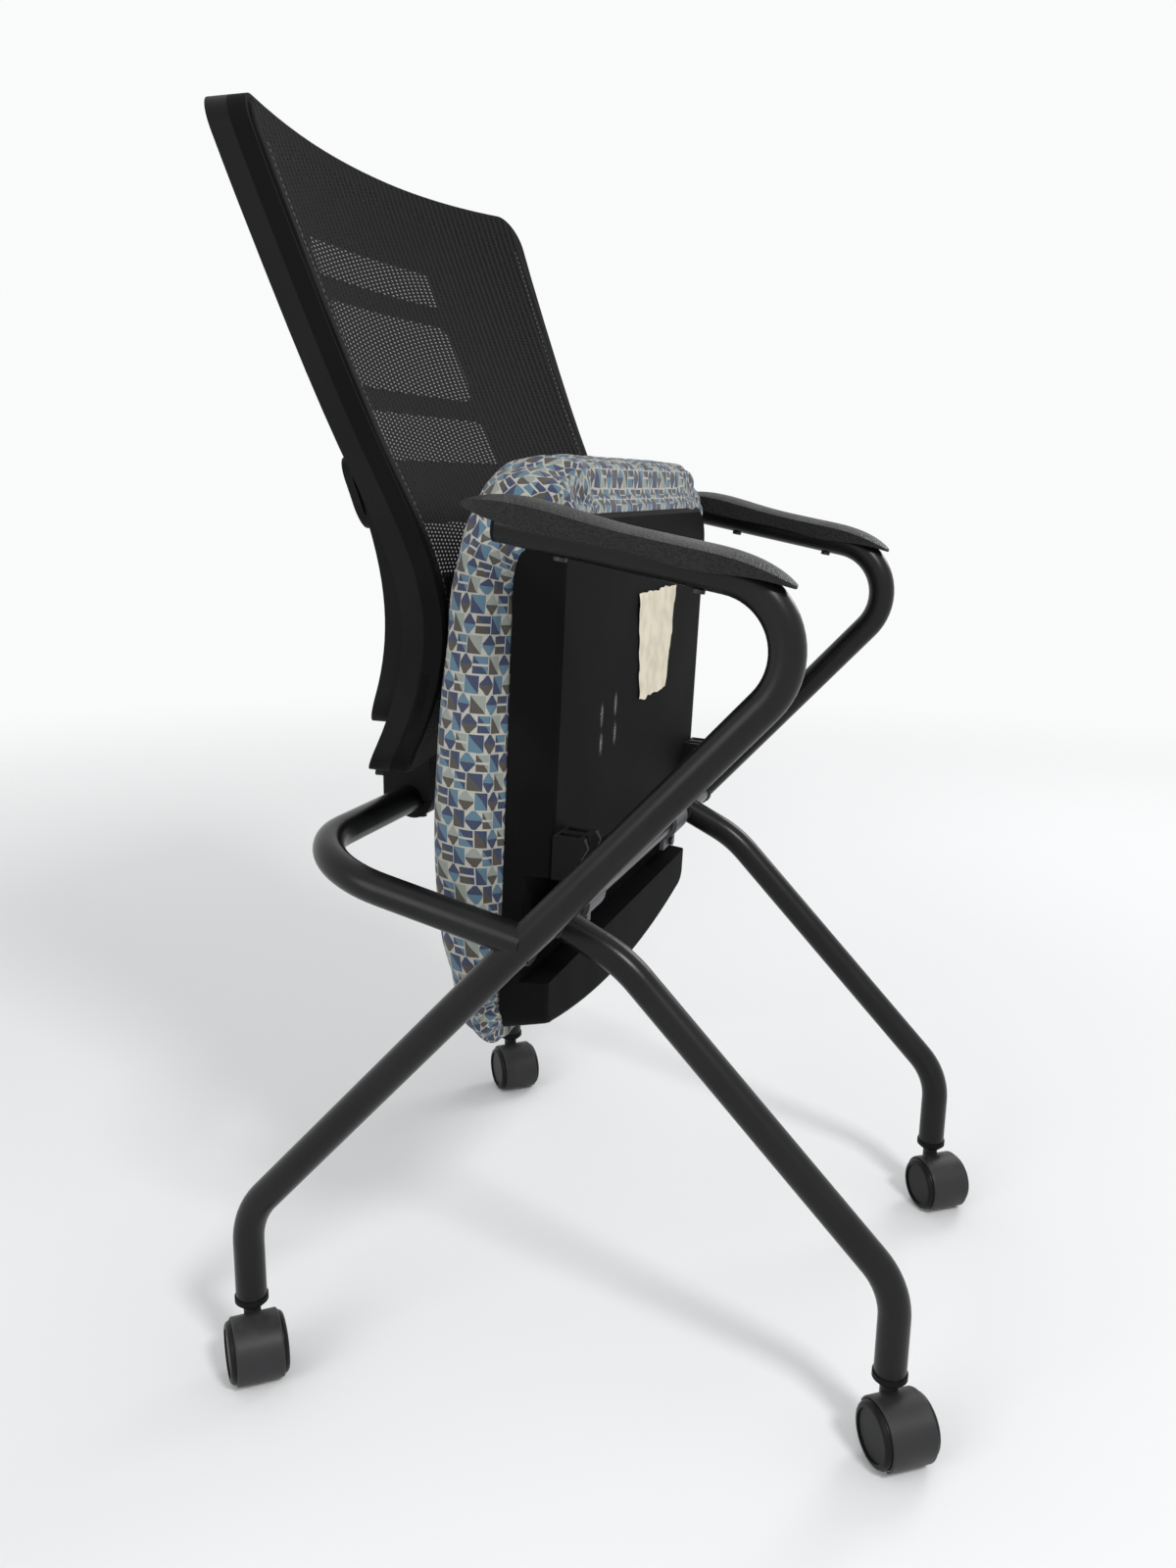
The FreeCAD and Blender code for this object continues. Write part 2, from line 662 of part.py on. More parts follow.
def caster_wheels(corner, place):
    """Two wheels on the axle, each domed on its outer face round a dished disc."""
    for letter, sign in (("a", -1), ("b", 1)):
        hub = Vector(size("caster_trail"), sign * size("wheel_inset"), size("wheel_radius"))
        outward = Rotation(TURN_X, -sign * 90)
        name = f"wheel_{corner}_{letter}"
        wheel = turned(f"wheel_body_{corner}_{letter}", WHEEL_OUTLINE, place * Placement(hub, outward))
        doc.recompute()
        turn = wheel.Tip
        rim = [f"Edge{number}" for number, edge in enumerate(turn.Shape.Edges, start=1)
               if edge.Curve.TypeId == "Part::GeomCircle"
               and edge.Curve.Radius > size("wheel_ring_radius") + 1
               and edge.Curve.Center.z > size("wheel_width") / 2]
        fillet = wheel.newObject("PartDesign::Fillet", name + "_round")
        fillet.Base = (turn, rim)
        fillet.setExpression("Radius", "sizes.wheel_round")
        keep(wheel, name)


for side, sign in SIDES.items():
    rear_stem = side_places[side].multVec(Vector(0, size("stance_depth"), 0))
    front_stem = Vector(sign * size("front_leg_spread"), size("front_leg_depth"), 0)
    for end, stem_at in (("front", front_stem), ("rear", rear_stem)):
        corner = f"{end}_{side}"
        standing = Placement(stem_at, Rotation())
        keep(turned(f"socket_body_{corner}", SOCKET_OUTLINE, standing), f"caster_socket_{corner}")
        trailing = Placement(stem_at, Rotation(TURN_Z, size(f"{end}_caster_turn")))
        caster_hood(corner, trailing)
        caster_wheels(corner, trailing)

# Seat: built flat about the pivot axis, then folded up.
seat_place = Placement(Vector(0, size("pivot_depth"), size("pivot_height")),
                       Rotation(TURN_X, -size("seat_fold")))


def seat_outline(half, front, rear, bow, front_round, rear_round, rise):
    """Seat plan: straight front and sides, rounded corners and a bowed rear edge."""
    slant = math.sqrt(0.5)

    def corner(centre_x, centre_y, radius, start, sign_x, sign_y, end):
        middle = Vector(centre_x + sign_x * radius * slant, centre_y + sign_y * radius * slant, rise)
        return Part.Arc(start, middle, end).toShape()

    fore, aft = -front, rear - bow
    front_right, front_left = Vector(front_round - half, fore, rise), Vector(half - front_round, fore, rise)
    left_fore, left_aft = Vector(half, fore + front_round, rise), Vector(half, aft - rear_round, rise)
    rear_left, rear_right = Vector(half - rear_round, aft, rise), Vector(rear_round - half, aft, rise)
    right_aft, right_fore = Vector(-half, aft - rear_round, rise), Vector(-half, fore + front_round, rise)
    return Part.Wire([
        Part.makeLine(front_right, front_left),
        corner(half - front_round, fore + front_round, front_round, front_left, 1, -1, left_fore),
        Part.makeLine(left_fore, left_aft),
        corner(half - rear_round, aft - rear_round, rear_round, left_aft, 1, 1, rear_left),
        Part.Arc(rear_left, Vector(0, rear, rise), rear_right).toShape(),
        corner(rear_round - half, aft - rear_round, rear_round, rear_right, -1, 1, right_aft),
        Part.makeLine(right_aft, right_fore),
        corner(front_round - half, fore + front_round, front_round, right_fore, -1, -1, front_right),
    ])


def shell_outline(inset, rise):
    return seat_outline(size("shell_width") / 2 - inset, size("shell_front") - inset,
                        size("shell_rear") - inset, size("shell_bow"),
                        size("shell_front_round") - inset, size("shell_rear_round") - inset, rise)


def seat_shell_shape():
    """Drafted tray, open towards the board, with a cross channel for the pivot tube."""
    drop, rim, wall = -size("shell_drop"), size("shell_rim"), size("shell_wall")
    draft = size("shell_draft")
    rounding = size("shell_edge_round")
    steps = [math.radians(turn) for turn in (0, 45, 90)]
    sections = [shell_outline(0, rim)]
    sections += [shell_outline(draft + rounding * (1 - math.cos(turn)),
                               drop + rounding * (1 - math.sin(turn)))
                 for turn in steps]
    tray = Part.makeLoft(sections, True, True)
    hollow = Part.makeLoft([shell_outline(wall, rim), shell_outline(draft + wall, drop + wall)], True, True)
    wide = size("shell_width")

    def trough(grow):
        fore, aft = size("channel_front") + grow, size("channel_rear") + grow
        return Part.makeBox(2 * wide, fore + aft, wide + size("channel_roof") + grow,
                            Vector(-wide, -fore, -wide))

    return tray.cut(hollow.cut(trough(wall))).cut(trough(0))


def padded_shape():
    """Upholstered block: rounded plan, top falling away towards the front, rounded edges."""
    base, wide = size("shell_rim"), size("cushion_width")
    plan = seat_outline(wide / 2, size("cushion_front"), size("cushion_rear"), size("cushion_bow"),
                        size("cushion_front_round"), size("cushion_rear_round"), base)
    prism = Part.Face(plan).extrude(Vector(0, 0, size("cushion_height")))
    top, crest, fall = base + size("cushion_height"), size("cushion_crest"), size("cushion_fall")
    run = size("cushion_front") - crest
    sweep = (run ** 2 + fall ** 2) / (2 * fall)
    brow = Part.makeCylinder(sweep, 2 * wide, Vector(-wide, -crest, top - sweep), TURN_X)
    seat_flat = Part.makeBox(2 * wide, crest + 2 * size("cushion_rear"), 2 * top, Vector(-wide, -crest, -top))
    pad = prism.common(brow.fuse(seat_flat))
    low = base + size("cushion_height") - fall - size("cushion_top_round") / 4
    above = [edge for edge in pad.Edges
             if edge.BoundBox.ZMin > low and edge.BoundBox.XLength < wide - size("cushion_base_round")]
    front = [edge for edge in pad.Edges if edge.BoundBox.ZMin > low and edge.BoundBox.YMax < -run]
    pad = pad.makeFillet(size("cushion_top_round"), above + front)
    below = [edge for edge in pad.Edges if edge.BoundBox.ZMax < base + 0.01]
    return pad.makeFillet(size("cushion_base_round"), below).fuse(front_lip())


def front_lip():
    """Cover and foam drawn down over the shell's front edge, fading out along the sides."""
    base, round_base = size("shell_rim"), size("cushion_base_round")
    low, deep = size("cushion_lip_level"), base + round_base
    plan = seat_outline(size("cushion_width") / 2 - round_base / 3, size("cushion_front") - round_base / 3,
                        size("cushion_rear"), size("cushion_bow"), size("cushion_front_round"),
                        size("cushion_rear_round"), low)
    band = Part.Face(plan).extrude(Vector(0, 0, deep - low))
    tray = Part.Face(shell_outline(-size("cushion_lip_gap"), low)).extrude(Vector(0, 0, base - low))
    wide = size("cushion_width")
    keel = Part.makeBox(2 * wide, wide, 2 * wide, Vector(-wide, -wide, -wide))
    keel.rotate(Vector(), TURN_X, size("cushion_lip_slope"))
    keel.translate(Vector(0, -size("cushion_lip_start"), base))
    lip = band.cut(tray).common(keel)
    rim = [edge for edge in lip.Edges
           if edge.BoundBox.ZMax < low + 0.01 and edge.BoundBox.YMin < -size("shell_front") - 1]
    return lip.makeFillet(round_base * 0.7, rim)


def board_shape():
    plan = shell_outline(size("board_margin"), size("shell_rim"))
    return Part.Face(plan).extrude(Vector(0, 0, size("board_thickness")))


board = keep(shaped("board_form", board_shape(), seat_place), "seat_board")
padded = shaped("cushion_form", padded_shape(), seat_place)
keep(cut("cushion_hollowed", padded, board), "seat_cushion")
keep(shaped("shell_form", seat_shell_shape(), seat_place), "seat_shell")

REST_OUTLINE = [
    ("rest_back_edge", "rest_seat_level"),
    ("rest_front_edge", "rest_seat_level"),
    ("rest_front_edge", "rest_front_low"),
    ("rest_lip_edge", "rest_lip_low"),
    ("rest_back_edge", "rest_back_low"),
]


def rest_block(side, sign):
    """Saddle that lands astride a front leg, with cored slots in its front face."""
    body = doc.addObject("PartDesign::Body", f"rest_body_{side}")
    outline = sketch_on(body, "YZ_Plane", f"rest_outline_{side}")
    draw_polygon(outline, REST_OUTLINE)
    pad = body.newObject("PartDesign::Pad", f"rest_pad_{side}")
    pad.Profile = outline
    pad.setExpression("Length", "sizes.rest_width")
    pad.SideType = "Symmetric"
    at_leg = seat_place * Placement(Vector(sign * size("front_leg_spread"), 0, 0), Rotation())
    body.Placement = at_leg
    down_the_leg = Rotation(TURN_X, 90 + size("rest_angle"))
    groove = rod(f"rest_groove_{side}", "sizes.tube_diameter + 2 * sizes.rest_gap",
                 "2 * sizes.rest_front", at_leg * Placement(Vector(), down_the_leg))
    slots = []
    for half, name in ((-1, "outer"), (1, "inner")):
        middle = half * size("rest_width") / 4 - size("rest_slot_width") / 2
        corner = Vector(middle, -size("rest_front"), -size("shell_drop") - size("rest_slot_drop"))
        slots.append(block(f"rest_slot_{side}_{name}", corner, at_leg, "sizes.rest_slot_width",
                           "sizes.rest_slot_depth", "sizes.rest_slot_drop - sizes.shell_wall"))
    keep(cut(f"rest_block_cut_{side}", body, groove, *slots), f"rest_block_{side}")


def pivot_bearing(side, sign):
    """Bearing half under the channel roof and the strap that closes it round the cross tube."""
    at_bearing = seat_place * Placement(Vector(sign * size("bearing_spread"), 0, 0), Rotation())
    half_width, reach = size("bearing_width") / 2, size("bearing_half")
    bore = rod(f"bearing_bore_{side}", "2 * sizes.bearing_bore", "sizes.bearing_width",
               at_bearing * Placement(Vector(-half_width, 0, 0), Rotation(TURN_Y, 90)))
    upper = block(f"bearing_block_{side}", Vector(-half_width, -reach, 0), at_bearing,
                  "sizes.bearing_width", "2 * sizes.bearing_half", "sizes.channel_roof")
    ring = rod(f"strap_ring_{side}", "2 * sizes.bearing_bore + 2 * sizes.strap_wall", "sizes.bearing_width",
               at_bearing * Placement(Vector(-half_width, 0, 0), Rotation(TURN_Y, 90)))
    wall = size("strap_wall")
    flange = block(f"strap_flange_{side}", Vector(-half_width, -reach, -size("strap_split") - wall),
                   at_bearing, "sizes.bearing_width", "2 * sizes.bearing_half", "sizes.strap_wall")
    upper_half = block(f"strap_trim_{side}", Vector(-half_width, -2 * reach, -size("strap_split")),
                       at_bearing, "sizes.bearing_width", "4 * sizes.bearing_half",
                       "sizes.channel_roof + sizes.strap_split")
    screws = []
    across = (size("bearing_bore") + wall + reach) / 2
    for end, aft in (("fore", -across), ("aft", across)):
        head_level = -size("strap_split") - wall - size("strap_wall")
        foot = at_bearing * Placement(Vector(0, aft, head_level), Rotation())
        head = rod(f"strap_screw_head_{side}_{end}", "sizes.strap_screw_head", "sizes.strap_wall", foot)
        shank = rod(f"strap_screw_shank_{side}_{end}", "sizes.strap_screw_diameter",
                    "2 * sizes.strap_wall + sizes.strap_screw_length", foot)
        screws.append(fuse(f"strap_screw_{side}_{end}", head, shank))
    keep(cut(f"bearing_cut_{side}", upper, bore, *screws), f"pivot_bearing_{side}")
    strap = fuse(f"strap_whole_{side}", ring, flange)
    keep(cut(f"strap_cut_{side}", strap, bore, upper_half, *screws), f"bearing_strap_{side}")
    return screws


strap_screws = []
for side, sign in SIDES.items():
    rest_block(side, sign)
    strap_screws += pivot_bearing(side, sign)
keep(group("strap_screw_group", strap_screws), "strap_screws")


# Back: every layer follows one profile, bowed rearward across the middle.
def back_profile():
    """Height and depth of the front surface's edge, from below the foot to above the top."""
    bottom, span = size("back_bottom"), size("back_top") - size("back_bottom")
    lumbar = size("back_lumbar_depth")
    foot, top = size("back_foot_depth") - lumbar, size("back_top_depth") - lumbar
    return [(bottom + share * span, lumbar + foot_share * foot + top_share * top)
            for share, foot_share, top_share in BACK_PROFILE]


def back_slab(front, rear):
    """Doubly curved layer between two offsets behind the front surface, one offset per profile point."""
    half = size("back_top_width") / 2
    profile = back_profile()

    def curve(x, offsets):
        sag = size("back_sag") * (1 - (x / half) ** 2)
        run = Part.BSplineCurve()
        run.interpolate([Vector(x, depth + sag + offset, height)
                         for (height, depth), offset in zip(profile, offsets)])
        return run

    wires = []
    for step in range(BACK_SLICES + 1):
        x = BACK_SPILL * half * (2 * step / BACK_SLICES - 1)
        near, far = curve(x, front), curve(x, rear)
        wires.append(Part.Wire([
            near.toShape(),
            Part.makeLine(near.EndPoint, far.EndPoint),
            far.toShape(),
            Part.makeLine(far.StartPoint, near.StartPoint),
        ]))
    return Part.makeLoft(wires, True, False)


def back_outline(bottom, top, bottom_half, top_half, corner, corner_rise=0.0):
    """Rounded front-view outline, run through the whole depth of the back; its top may dip in the middle."""
    far = 2 * size("back_top_depth")
    foot_right, foot_left = Vector(-bottom_half, 0, bottom), Vector(bottom_half, 0, bottom)
    top_left, top_right = Vector(top_half, 0, top + corner_rise), Vector(-top_half, 0, top + corner_rise)
    if corner_rise:
        top_edge = Part.Arc(top_left, Vector(0, 0, top), top_right).toShape()
    else:
        top_edge = Part.makeLine(top_left, top_right)
    wire = Part.Wire([Part.makeLine(foot_right, foot_left), Part.makeLine(foot_left, top_left), top_edge,
                      Part.makeLine(top_right, foot_right)])
    prism = Part.Face(wire).extrude(Vector(0, far, 0))
    return prism.makeFillet(corner, upright_edges(prism, TURN_Y))


def inset_outline(inset):
    bottom, top = size("back_bottom"), size("back_top")
    return back_outline(bottom + inset, top - inset, size("back_bottom_width") / 2 - inset,
                        size("back_top_width") / 2 - inset, size("back_corner"), size("back_corner_rise"))


def even(offset):
    return [offset] * len(back_profile())


def depth_behind(height, offset):
    """Depth of the middle of the back at a height, pushed rearward by an offset."""
    profile = back_profile()
    run = Part.BSplineCurve()
    run.interpolate([Vector(0, depth, rise) for rise, depth in profile])
    level_line = Part.Plane(Vector(0, 0, height), TURN_Z)
    crossing = run.toShape().section(level_line.toShape())
    return crossing.Vertexes[0].Point.y + offset


whole_back = shaped("back_whole", inset_outline(0))
mesh_outline = shaped("mesh_outline", inset_outline(size("mesh_margin")))
mesh_slab = shaped("mesh_slab", back_slab(even(-size("mesh_thickness")), even(0)))
keep(common("mesh_trimmed", mesh_slab, mesh_outline), "back_mesh")

carrier_slab = shaped("carrier_slab", back_slab(even(0), even(size("carrier_depth"))))
carrier_opening = shaped("carrier_opening", inset_outline(size("carrier_rail")))
carrier_whole = common("carrier_whole", carrier_slab, whole_back)
keep(cut("carrier_ring", carrier_whole, carrier_opening), "mesh_carrier")

frame_front = size("carrier_depth")
frame_rear = frame_front + size("frame_depth")
frame_slab = shaped("frame_slab", back_slab(even(frame_front), even(frame_rear)))
frame_opening = shaped("frame_opening", inset_outline(size("frame_rail")))
rim_whole = common("frame_rim_whole", frame_slab, whole_back)
rim = cut("frame_rim", rim_whole, frame_opening)
skin_slab = shaped("skin_slab", back_slab(even(frame_rear - size("frame_skin")), even(frame_rear)))
skin_whole = common("skin_whole", skin_slab, whole_back)
frame_window = shaped("frame_window", back_outline(
    size("frame_window_bottom"), size("frame_window_top"), size("frame_window_width") / 2,
    size("frame_window_width") / 2, size("window_corner")))
skin = cut("frame_skin", skin_whole, frame_window)
keep(fuse("frame_fused", rim, skin), "back_frame")

support_thickness = ([size("support_foot_depth")] * 4 + [size("support_waist_depth")]
                     + [size("support_top_depth")] * 3)
support_rear = [frame_rear + thickness for thickness in support_thickness]
support_slab = shaped("support_slab", back_slab(even(frame_rear), support_rear))
support_outline = shaped("support_outline", back_outline(
    size("support_bottom"), size("support_top"), size("support_bottom_width") / 2,
    size("support_top_width") / 2, size("back_corner")))
support_whole = common("support_whole", support_slab, support_outline)
bars = [size("bar_lumbar"), size("bar_middle"), size("bar_upper")]
sills = [size("support_window_bottom")] + [bar + size("bar_height") / 2 for bar in bars]
heads = [bar - size("bar_height") / 2 for bar in bars] + [size("support_window_top")]
support_windows = []
for number, (sill, head) in enumerate(zip(sills, heads)):
    round_corner = min(size("window_corner"), (head - sill) / 3)
    half = size("support_window_width") / 2
    window = back_outline(sill, head, half, half, round_corner)
    support_windows.append(shaped(f"support_window_{number}", window))

# Bracket: upright behind the support, running down into the saddle on the U-tube.
bracket_rear = [offset + size("bracket_depth") for offset in support_rear]
upright_slab = shaped("upright_slab", back_slab(support_rear, bracket_rear))
u_depth, u_height = size("u_depth"), size("u_height")
upright_outline = shaped("upright_outline", back_outline(
    u_height + size("tube_radius"), size("bracket_top"), size("bracket_width") / 2,
    size("bracket_width") / 2, size("window_corner")))
upright = common("bracket_upright", upright_slab, upright_outline)
at_u = Placement(Vector(0, u_depth, u_height), Rotation())
saddle_heel = depth_behind(u_height + size("saddle_rise"), bracket_rear[0] + size("back_sag")) - u_depth
saddle = block("saddle_block", Vector(-size("saddle_width") / 2, -size("saddle_half"), 0), at_u,
               "sizes.saddle_width", f"sizes.saddle_half + {saddle_heel}", "sizes.saddle_rise")
clamp_bolts = []
head_level = (size("clamp_bolt_recess") - size("tube_radius") - size("clamp_wall")
              - size("clamp_bolt_head_height"))
for side, sign in SIDES.items():
    foot = at_u * Placement(Vector(sign * size("clamp_bolt_spread"), 0, head_level), Rotation())
    bolt_head = rod(f"clamp_bolt_head_{side}", "sizes.clamp_bolt_head", "sizes.clamp_bolt_head_height", foot)
    bolt_shank = rod(f"clamp_bolt_shank_{side}", "sizes.clamp_bolt_diameter",
                     "sizes.clamp_bolt_head_height + sizes.clamp_wall + sizes.tube_diameter"
                     " + sizes.clamp_bolt_grip", foot)
    clamp_bolts.append(fuse(f"clamp_bolt_{side}", bolt_head, bolt_shank))
keep(group("clamp_bolt_group", clamp_bolts), "clamp_bolts")

along_u = Rotation(TURN_Y, 90)
clamp_ring = rod("clamp_ring", "sizes.tube_diameter + 2 * sizes.clamp_wall", "sizes.clamp_width",
                 at_u * Placement(Vector(-size("clamp_width") / 2, 0, 0), along_u))
clamp_trim = block("clamp_trim", Vector(-size("clamp_width"), -2 * size("saddle_half"),
                                        -size("clamp_split")), at_u,
                   "2 * sizes.clamp_width", "4 * sizes.saddle_half", "sizes.saddle_rise")
keep(cut("clamp_cut", clamp_ring, u_rod, clamp_trim, *clamp_bolts), "clamp_cap")
keep(cut("rear_u_tube", u_rod, u_bore, cross_rod, *side_rods.values(), *clamp_bolts), "rear_u_tube")


bracket_screws = []
for number, (x_sign, height) in enumerate(((-1, "bracket_screw_low"), (1, "bracket_screw_low"),
                                           (-1, "bracket_screw_high"), (1, "bracket_screw_high"))):
    x = x_sign * size("bracket_screw_spread")
    sag = size("back_sag") * (1 - (2 * x / size("back_top_width")) ** 2)
    face = depth_behind(size(height), sag + support_rear[0] + size("bracket_depth"))
    proud = face + size("bracket_screw_head_height")
    inward = Placement(Vector(x, proud, size(height)), Rotation(TURN_X, 90))
    screw_head = rod(f"bracket_screw_head_{number}", "sizes.bracket_screw_head",
                     "sizes.bracket_screw_head_height + sizes.bracket_depth / 2", inward)
    screw_shank = rod(f"bracket_screw_shank_{number}", "sizes.bracket_screw_diameter",
                      "sizes.bracket_screw_head_height + sizes.bracket_depth"
                      " + sizes.bracket_screw_grip", inward)
    bracket_screws.append(fuse(f"bracket_screw_{number}", screw_head, screw_shank))
keep(group("bracket_screw_group", bracket_screws), "bracket_screws")

bracket_whole = fuse("bracket_whole", upright, saddle)
keep(cut("bracket_cut", bracket_whole, u_rod, *clamp_bolts, *bracket_screws), "back_bracket")
keep(cut("support_cut", support_whole, *support_windows, *bracket_screws), "back_support")

# Lumbar cross-member bulging out behind the support.
lumbar_rear = [offset + size("lumbar_depth") for offset in support_rear]
lumbar_slab = shaped("lumbar_slab", back_slab(support_rear, lumbar_rear))
lumbar_half = size("lumbar_width") / 2
lumbar_outline = shaped("lumbar_outline", back_outline(
    size("lumbar_middle") - size("lumbar_height") / 2, size("lumbar_middle") + size("lumbar_height") / 2,
    lumbar_half, lumbar_half, size("window_corner")))
keep(common("lumbar_trimmed", lumbar_slab, lumbar_outline), "lumbar_bar")

doc.recompute()
failed = [thing.Name for thing in doc.Objects if "Invalid" in thing.State or "Error" in thing.State]
hollow = [label for label, thing in nodes.items() if thing.Shape.isNull() or not thing.Shape.isValid()]
if failed or hollow:
    raise RuntimeError(f"failed: {failed}, empty or invalid: {hollow}")
os.makedirs("parts", exist_ok=True)
for label, thing in nodes.items():
    thing.Shape.exportStep(f"parts/{label}.step")
print(len(nodes), "sub-parts")
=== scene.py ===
"""Finishes, cloth, stage and camera for a flip-seat nesting chair.

Every piece is in metres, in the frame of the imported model: +Z up, the chair faces -Y, and the sitter's
right is -X. The seat is flipped up.
"""
import json
import math
from typing import NamedTuple

import bmesh
import bpy
from bpy.props import FloatProperty, FloatVectorProperty, PointerProperty
from mathutils import Matrix, Vector, noise
from mathutils.bvhtree import BVHTree


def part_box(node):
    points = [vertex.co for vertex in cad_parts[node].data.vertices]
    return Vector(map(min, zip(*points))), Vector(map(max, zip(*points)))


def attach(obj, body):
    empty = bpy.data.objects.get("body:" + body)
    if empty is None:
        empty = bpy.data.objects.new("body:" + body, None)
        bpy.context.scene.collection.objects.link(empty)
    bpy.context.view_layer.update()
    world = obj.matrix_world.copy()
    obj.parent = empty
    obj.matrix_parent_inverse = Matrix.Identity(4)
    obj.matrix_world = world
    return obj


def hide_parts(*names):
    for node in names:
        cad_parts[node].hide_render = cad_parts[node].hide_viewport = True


bl_info = {
    "name": "Nesting Chair Finishes",
    "version": (1, 0, 0),
    "blender": (4, 5, 0),
    "location": "View3D > Sidebar > Chair",
    "description": "Dresses the packed chair with its paint, mouldings, mesh, cushion and stage",
    "category": "Object",
}

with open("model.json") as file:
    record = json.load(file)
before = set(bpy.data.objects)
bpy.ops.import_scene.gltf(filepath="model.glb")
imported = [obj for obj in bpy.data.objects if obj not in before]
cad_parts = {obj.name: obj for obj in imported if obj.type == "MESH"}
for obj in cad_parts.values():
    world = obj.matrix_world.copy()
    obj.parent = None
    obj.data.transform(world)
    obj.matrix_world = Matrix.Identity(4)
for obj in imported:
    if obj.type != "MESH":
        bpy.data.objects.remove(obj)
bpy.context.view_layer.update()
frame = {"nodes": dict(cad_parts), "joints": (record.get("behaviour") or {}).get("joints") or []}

SIDES = {"right": -1, "left": 1}
CORNERS = [f"{end}_{side}" for end in ("front", "rear") for side in SIDES]
SEAT_HINGE = next(joint for joint in frame["joints"] if joint["name"] == "seat_flip")
SEAT_PIVOT = Vector(SEAT_HINGE["pos_m"])
SEAT_FOLD = math.radians(88)
PHOTO_SIZE = (1200, 1600)

EDGE_SEGMENTS = 2
EDGE_ANGLE = math.radians(38)
DUST_COLOUR = (0.09, 0.09, 0.088)
DUST_ROUGHNESS = 0.5
DRIFT_TONE = 1.35
DRIFT_ROUGHNESS = 0.07
SCUFF_TONE = 3.2
GRAIN_STRENGTH = 0.35


class Finish(NamedTuple):
    """Hard surface: roughness, grain cells per metre, grain depth, shares of dust and scuffs, shine."""

    rough: float
    grain: float
    depth: float
    dust: float = 0.25
    scuff: float = 0.25
    specular: float = 0.5
    metallic: float = 0.0


FINISHES = {
    "satin_powder_coat": Finish(0.26, 900.0, 0.00012, 0.04, 0.05, 0.22),
    "grained_moulding": Finish(0.46, 2200.0, 0.00010, 0.05, 0.06, 0.06),
    "seat_shell_moulding": Finish(0.54, 1500.0, 0.00016, 0.0, 0.08, 0.015),
    "strap_moulding": Finish(0.45, 1800.0, 0.0001),
    "border_cloth": Finish(0.72, 1400.0, 0.0003, 0.0, 0.0, 0.05),
    "border_thread": Finish(0.6, 3000.0, 0.0002, 0.0, 0.0),
    "caster_hood_moulding": Finish(0.42, 1600.0, 0.00012, 0.30, 0.3, 0.32),
    "wheel_moulding": Finish(0.32, 1200.0, 0.00008, 0.12, 0.2, 0.12),
    "blackened_steel": Finish(0.34, 2400.0, 0.00006, 0.15, 0.5, metallic=0.7),
}


def length_property(name, description, default):
    return FloatProperty(name=name, description=description, default=default, min=0, subtype="DISTANCE",
                         unit="LENGTH", precision=5)


def angle_property(name, description, degrees):
    return FloatProperty(name=name, description=description, default=math.radians(degrees), subtype="ANGLE",
                         unit="ROTATION")


def power_property(name, description, default):
    return FloatProperty(name=name, description=description, default=default, subtype="POWER", unit="POWER")


def colour_property(name, description, default):
    return FloatVectorProperty(name=name, description=description, default=default, min=0, max=1, size=3,
                               subtype="COLOR")


class ChairColours(bpy.types.PropertyGroup):
    """Colours of the chair's finishes, in linear values."""

    tube: colour_property("Tube paint", "Powder coat on the bent tubes", (0.0055, 0.0055, 0.0058))
    moulding: colour_property("Mouldings", "Back frame, bracket and plugs", (0.0075, 0.0075, 0.008))
    shell: colour_property("Seat shell", "Moulded seat underside", (0.0055, 0.0055, 0.0058))
    strap: colour_property("Bearing straps", "Straps round the pivot tube", (0.055, 0.056, 0.060))
    pad: colour_property("Arm pads", "Soft-touch arm pads", (0.0105, 0.0105, 0.011))
    hood: colour_property("Caster hoods", "Shells over the wheels", (0.016, 0.016, 0.017))
    wheel: colour_property("Wheels", "Caster wheels", (0.0060, 0.0060, 0.0064))
    steel: colour_property("Bright steel", "Axles and stems", (0.50, 0.50, 0.52))
    screw: colour_property("Screws", "Blackened screw heads", (0.030, 0.030, 0.031))
    knit: colour_property("Mesh yarn", "Yarn of the back mesh", (0.0046, 0.0045, 0.0047))
    thread: colour_property("Stitching", "Thread along the mesh border", (0.075, 0.075, 0.078))
    ground: colour_property("Cloth ground", "Pale ground of the seat cloth", (0.45, 0.44, 0.385))
    navy: colour_property("Cloth navy", "Darkest motif", (0.016, 0.030, 0.085))
    blue: colour_property("Cloth blue", "Steel-blue motif", (0.078, 0.168, 0.235))
    taupe: colour_property("Cloth taupe", "Brown-grey motif", (0.055, 0.046, 0.034))
    grey: colour_property("Cloth grey", "Pale grey-green motif", (0.27, 0.30, 0.27))
    wood: colour_property("Seat board", "Plywood under the cushion", (0.46, 0.31, 0.17))
    paper: colour_property("Label paper", "Blank label under the seat", (0.74, 0.68, 0.54))


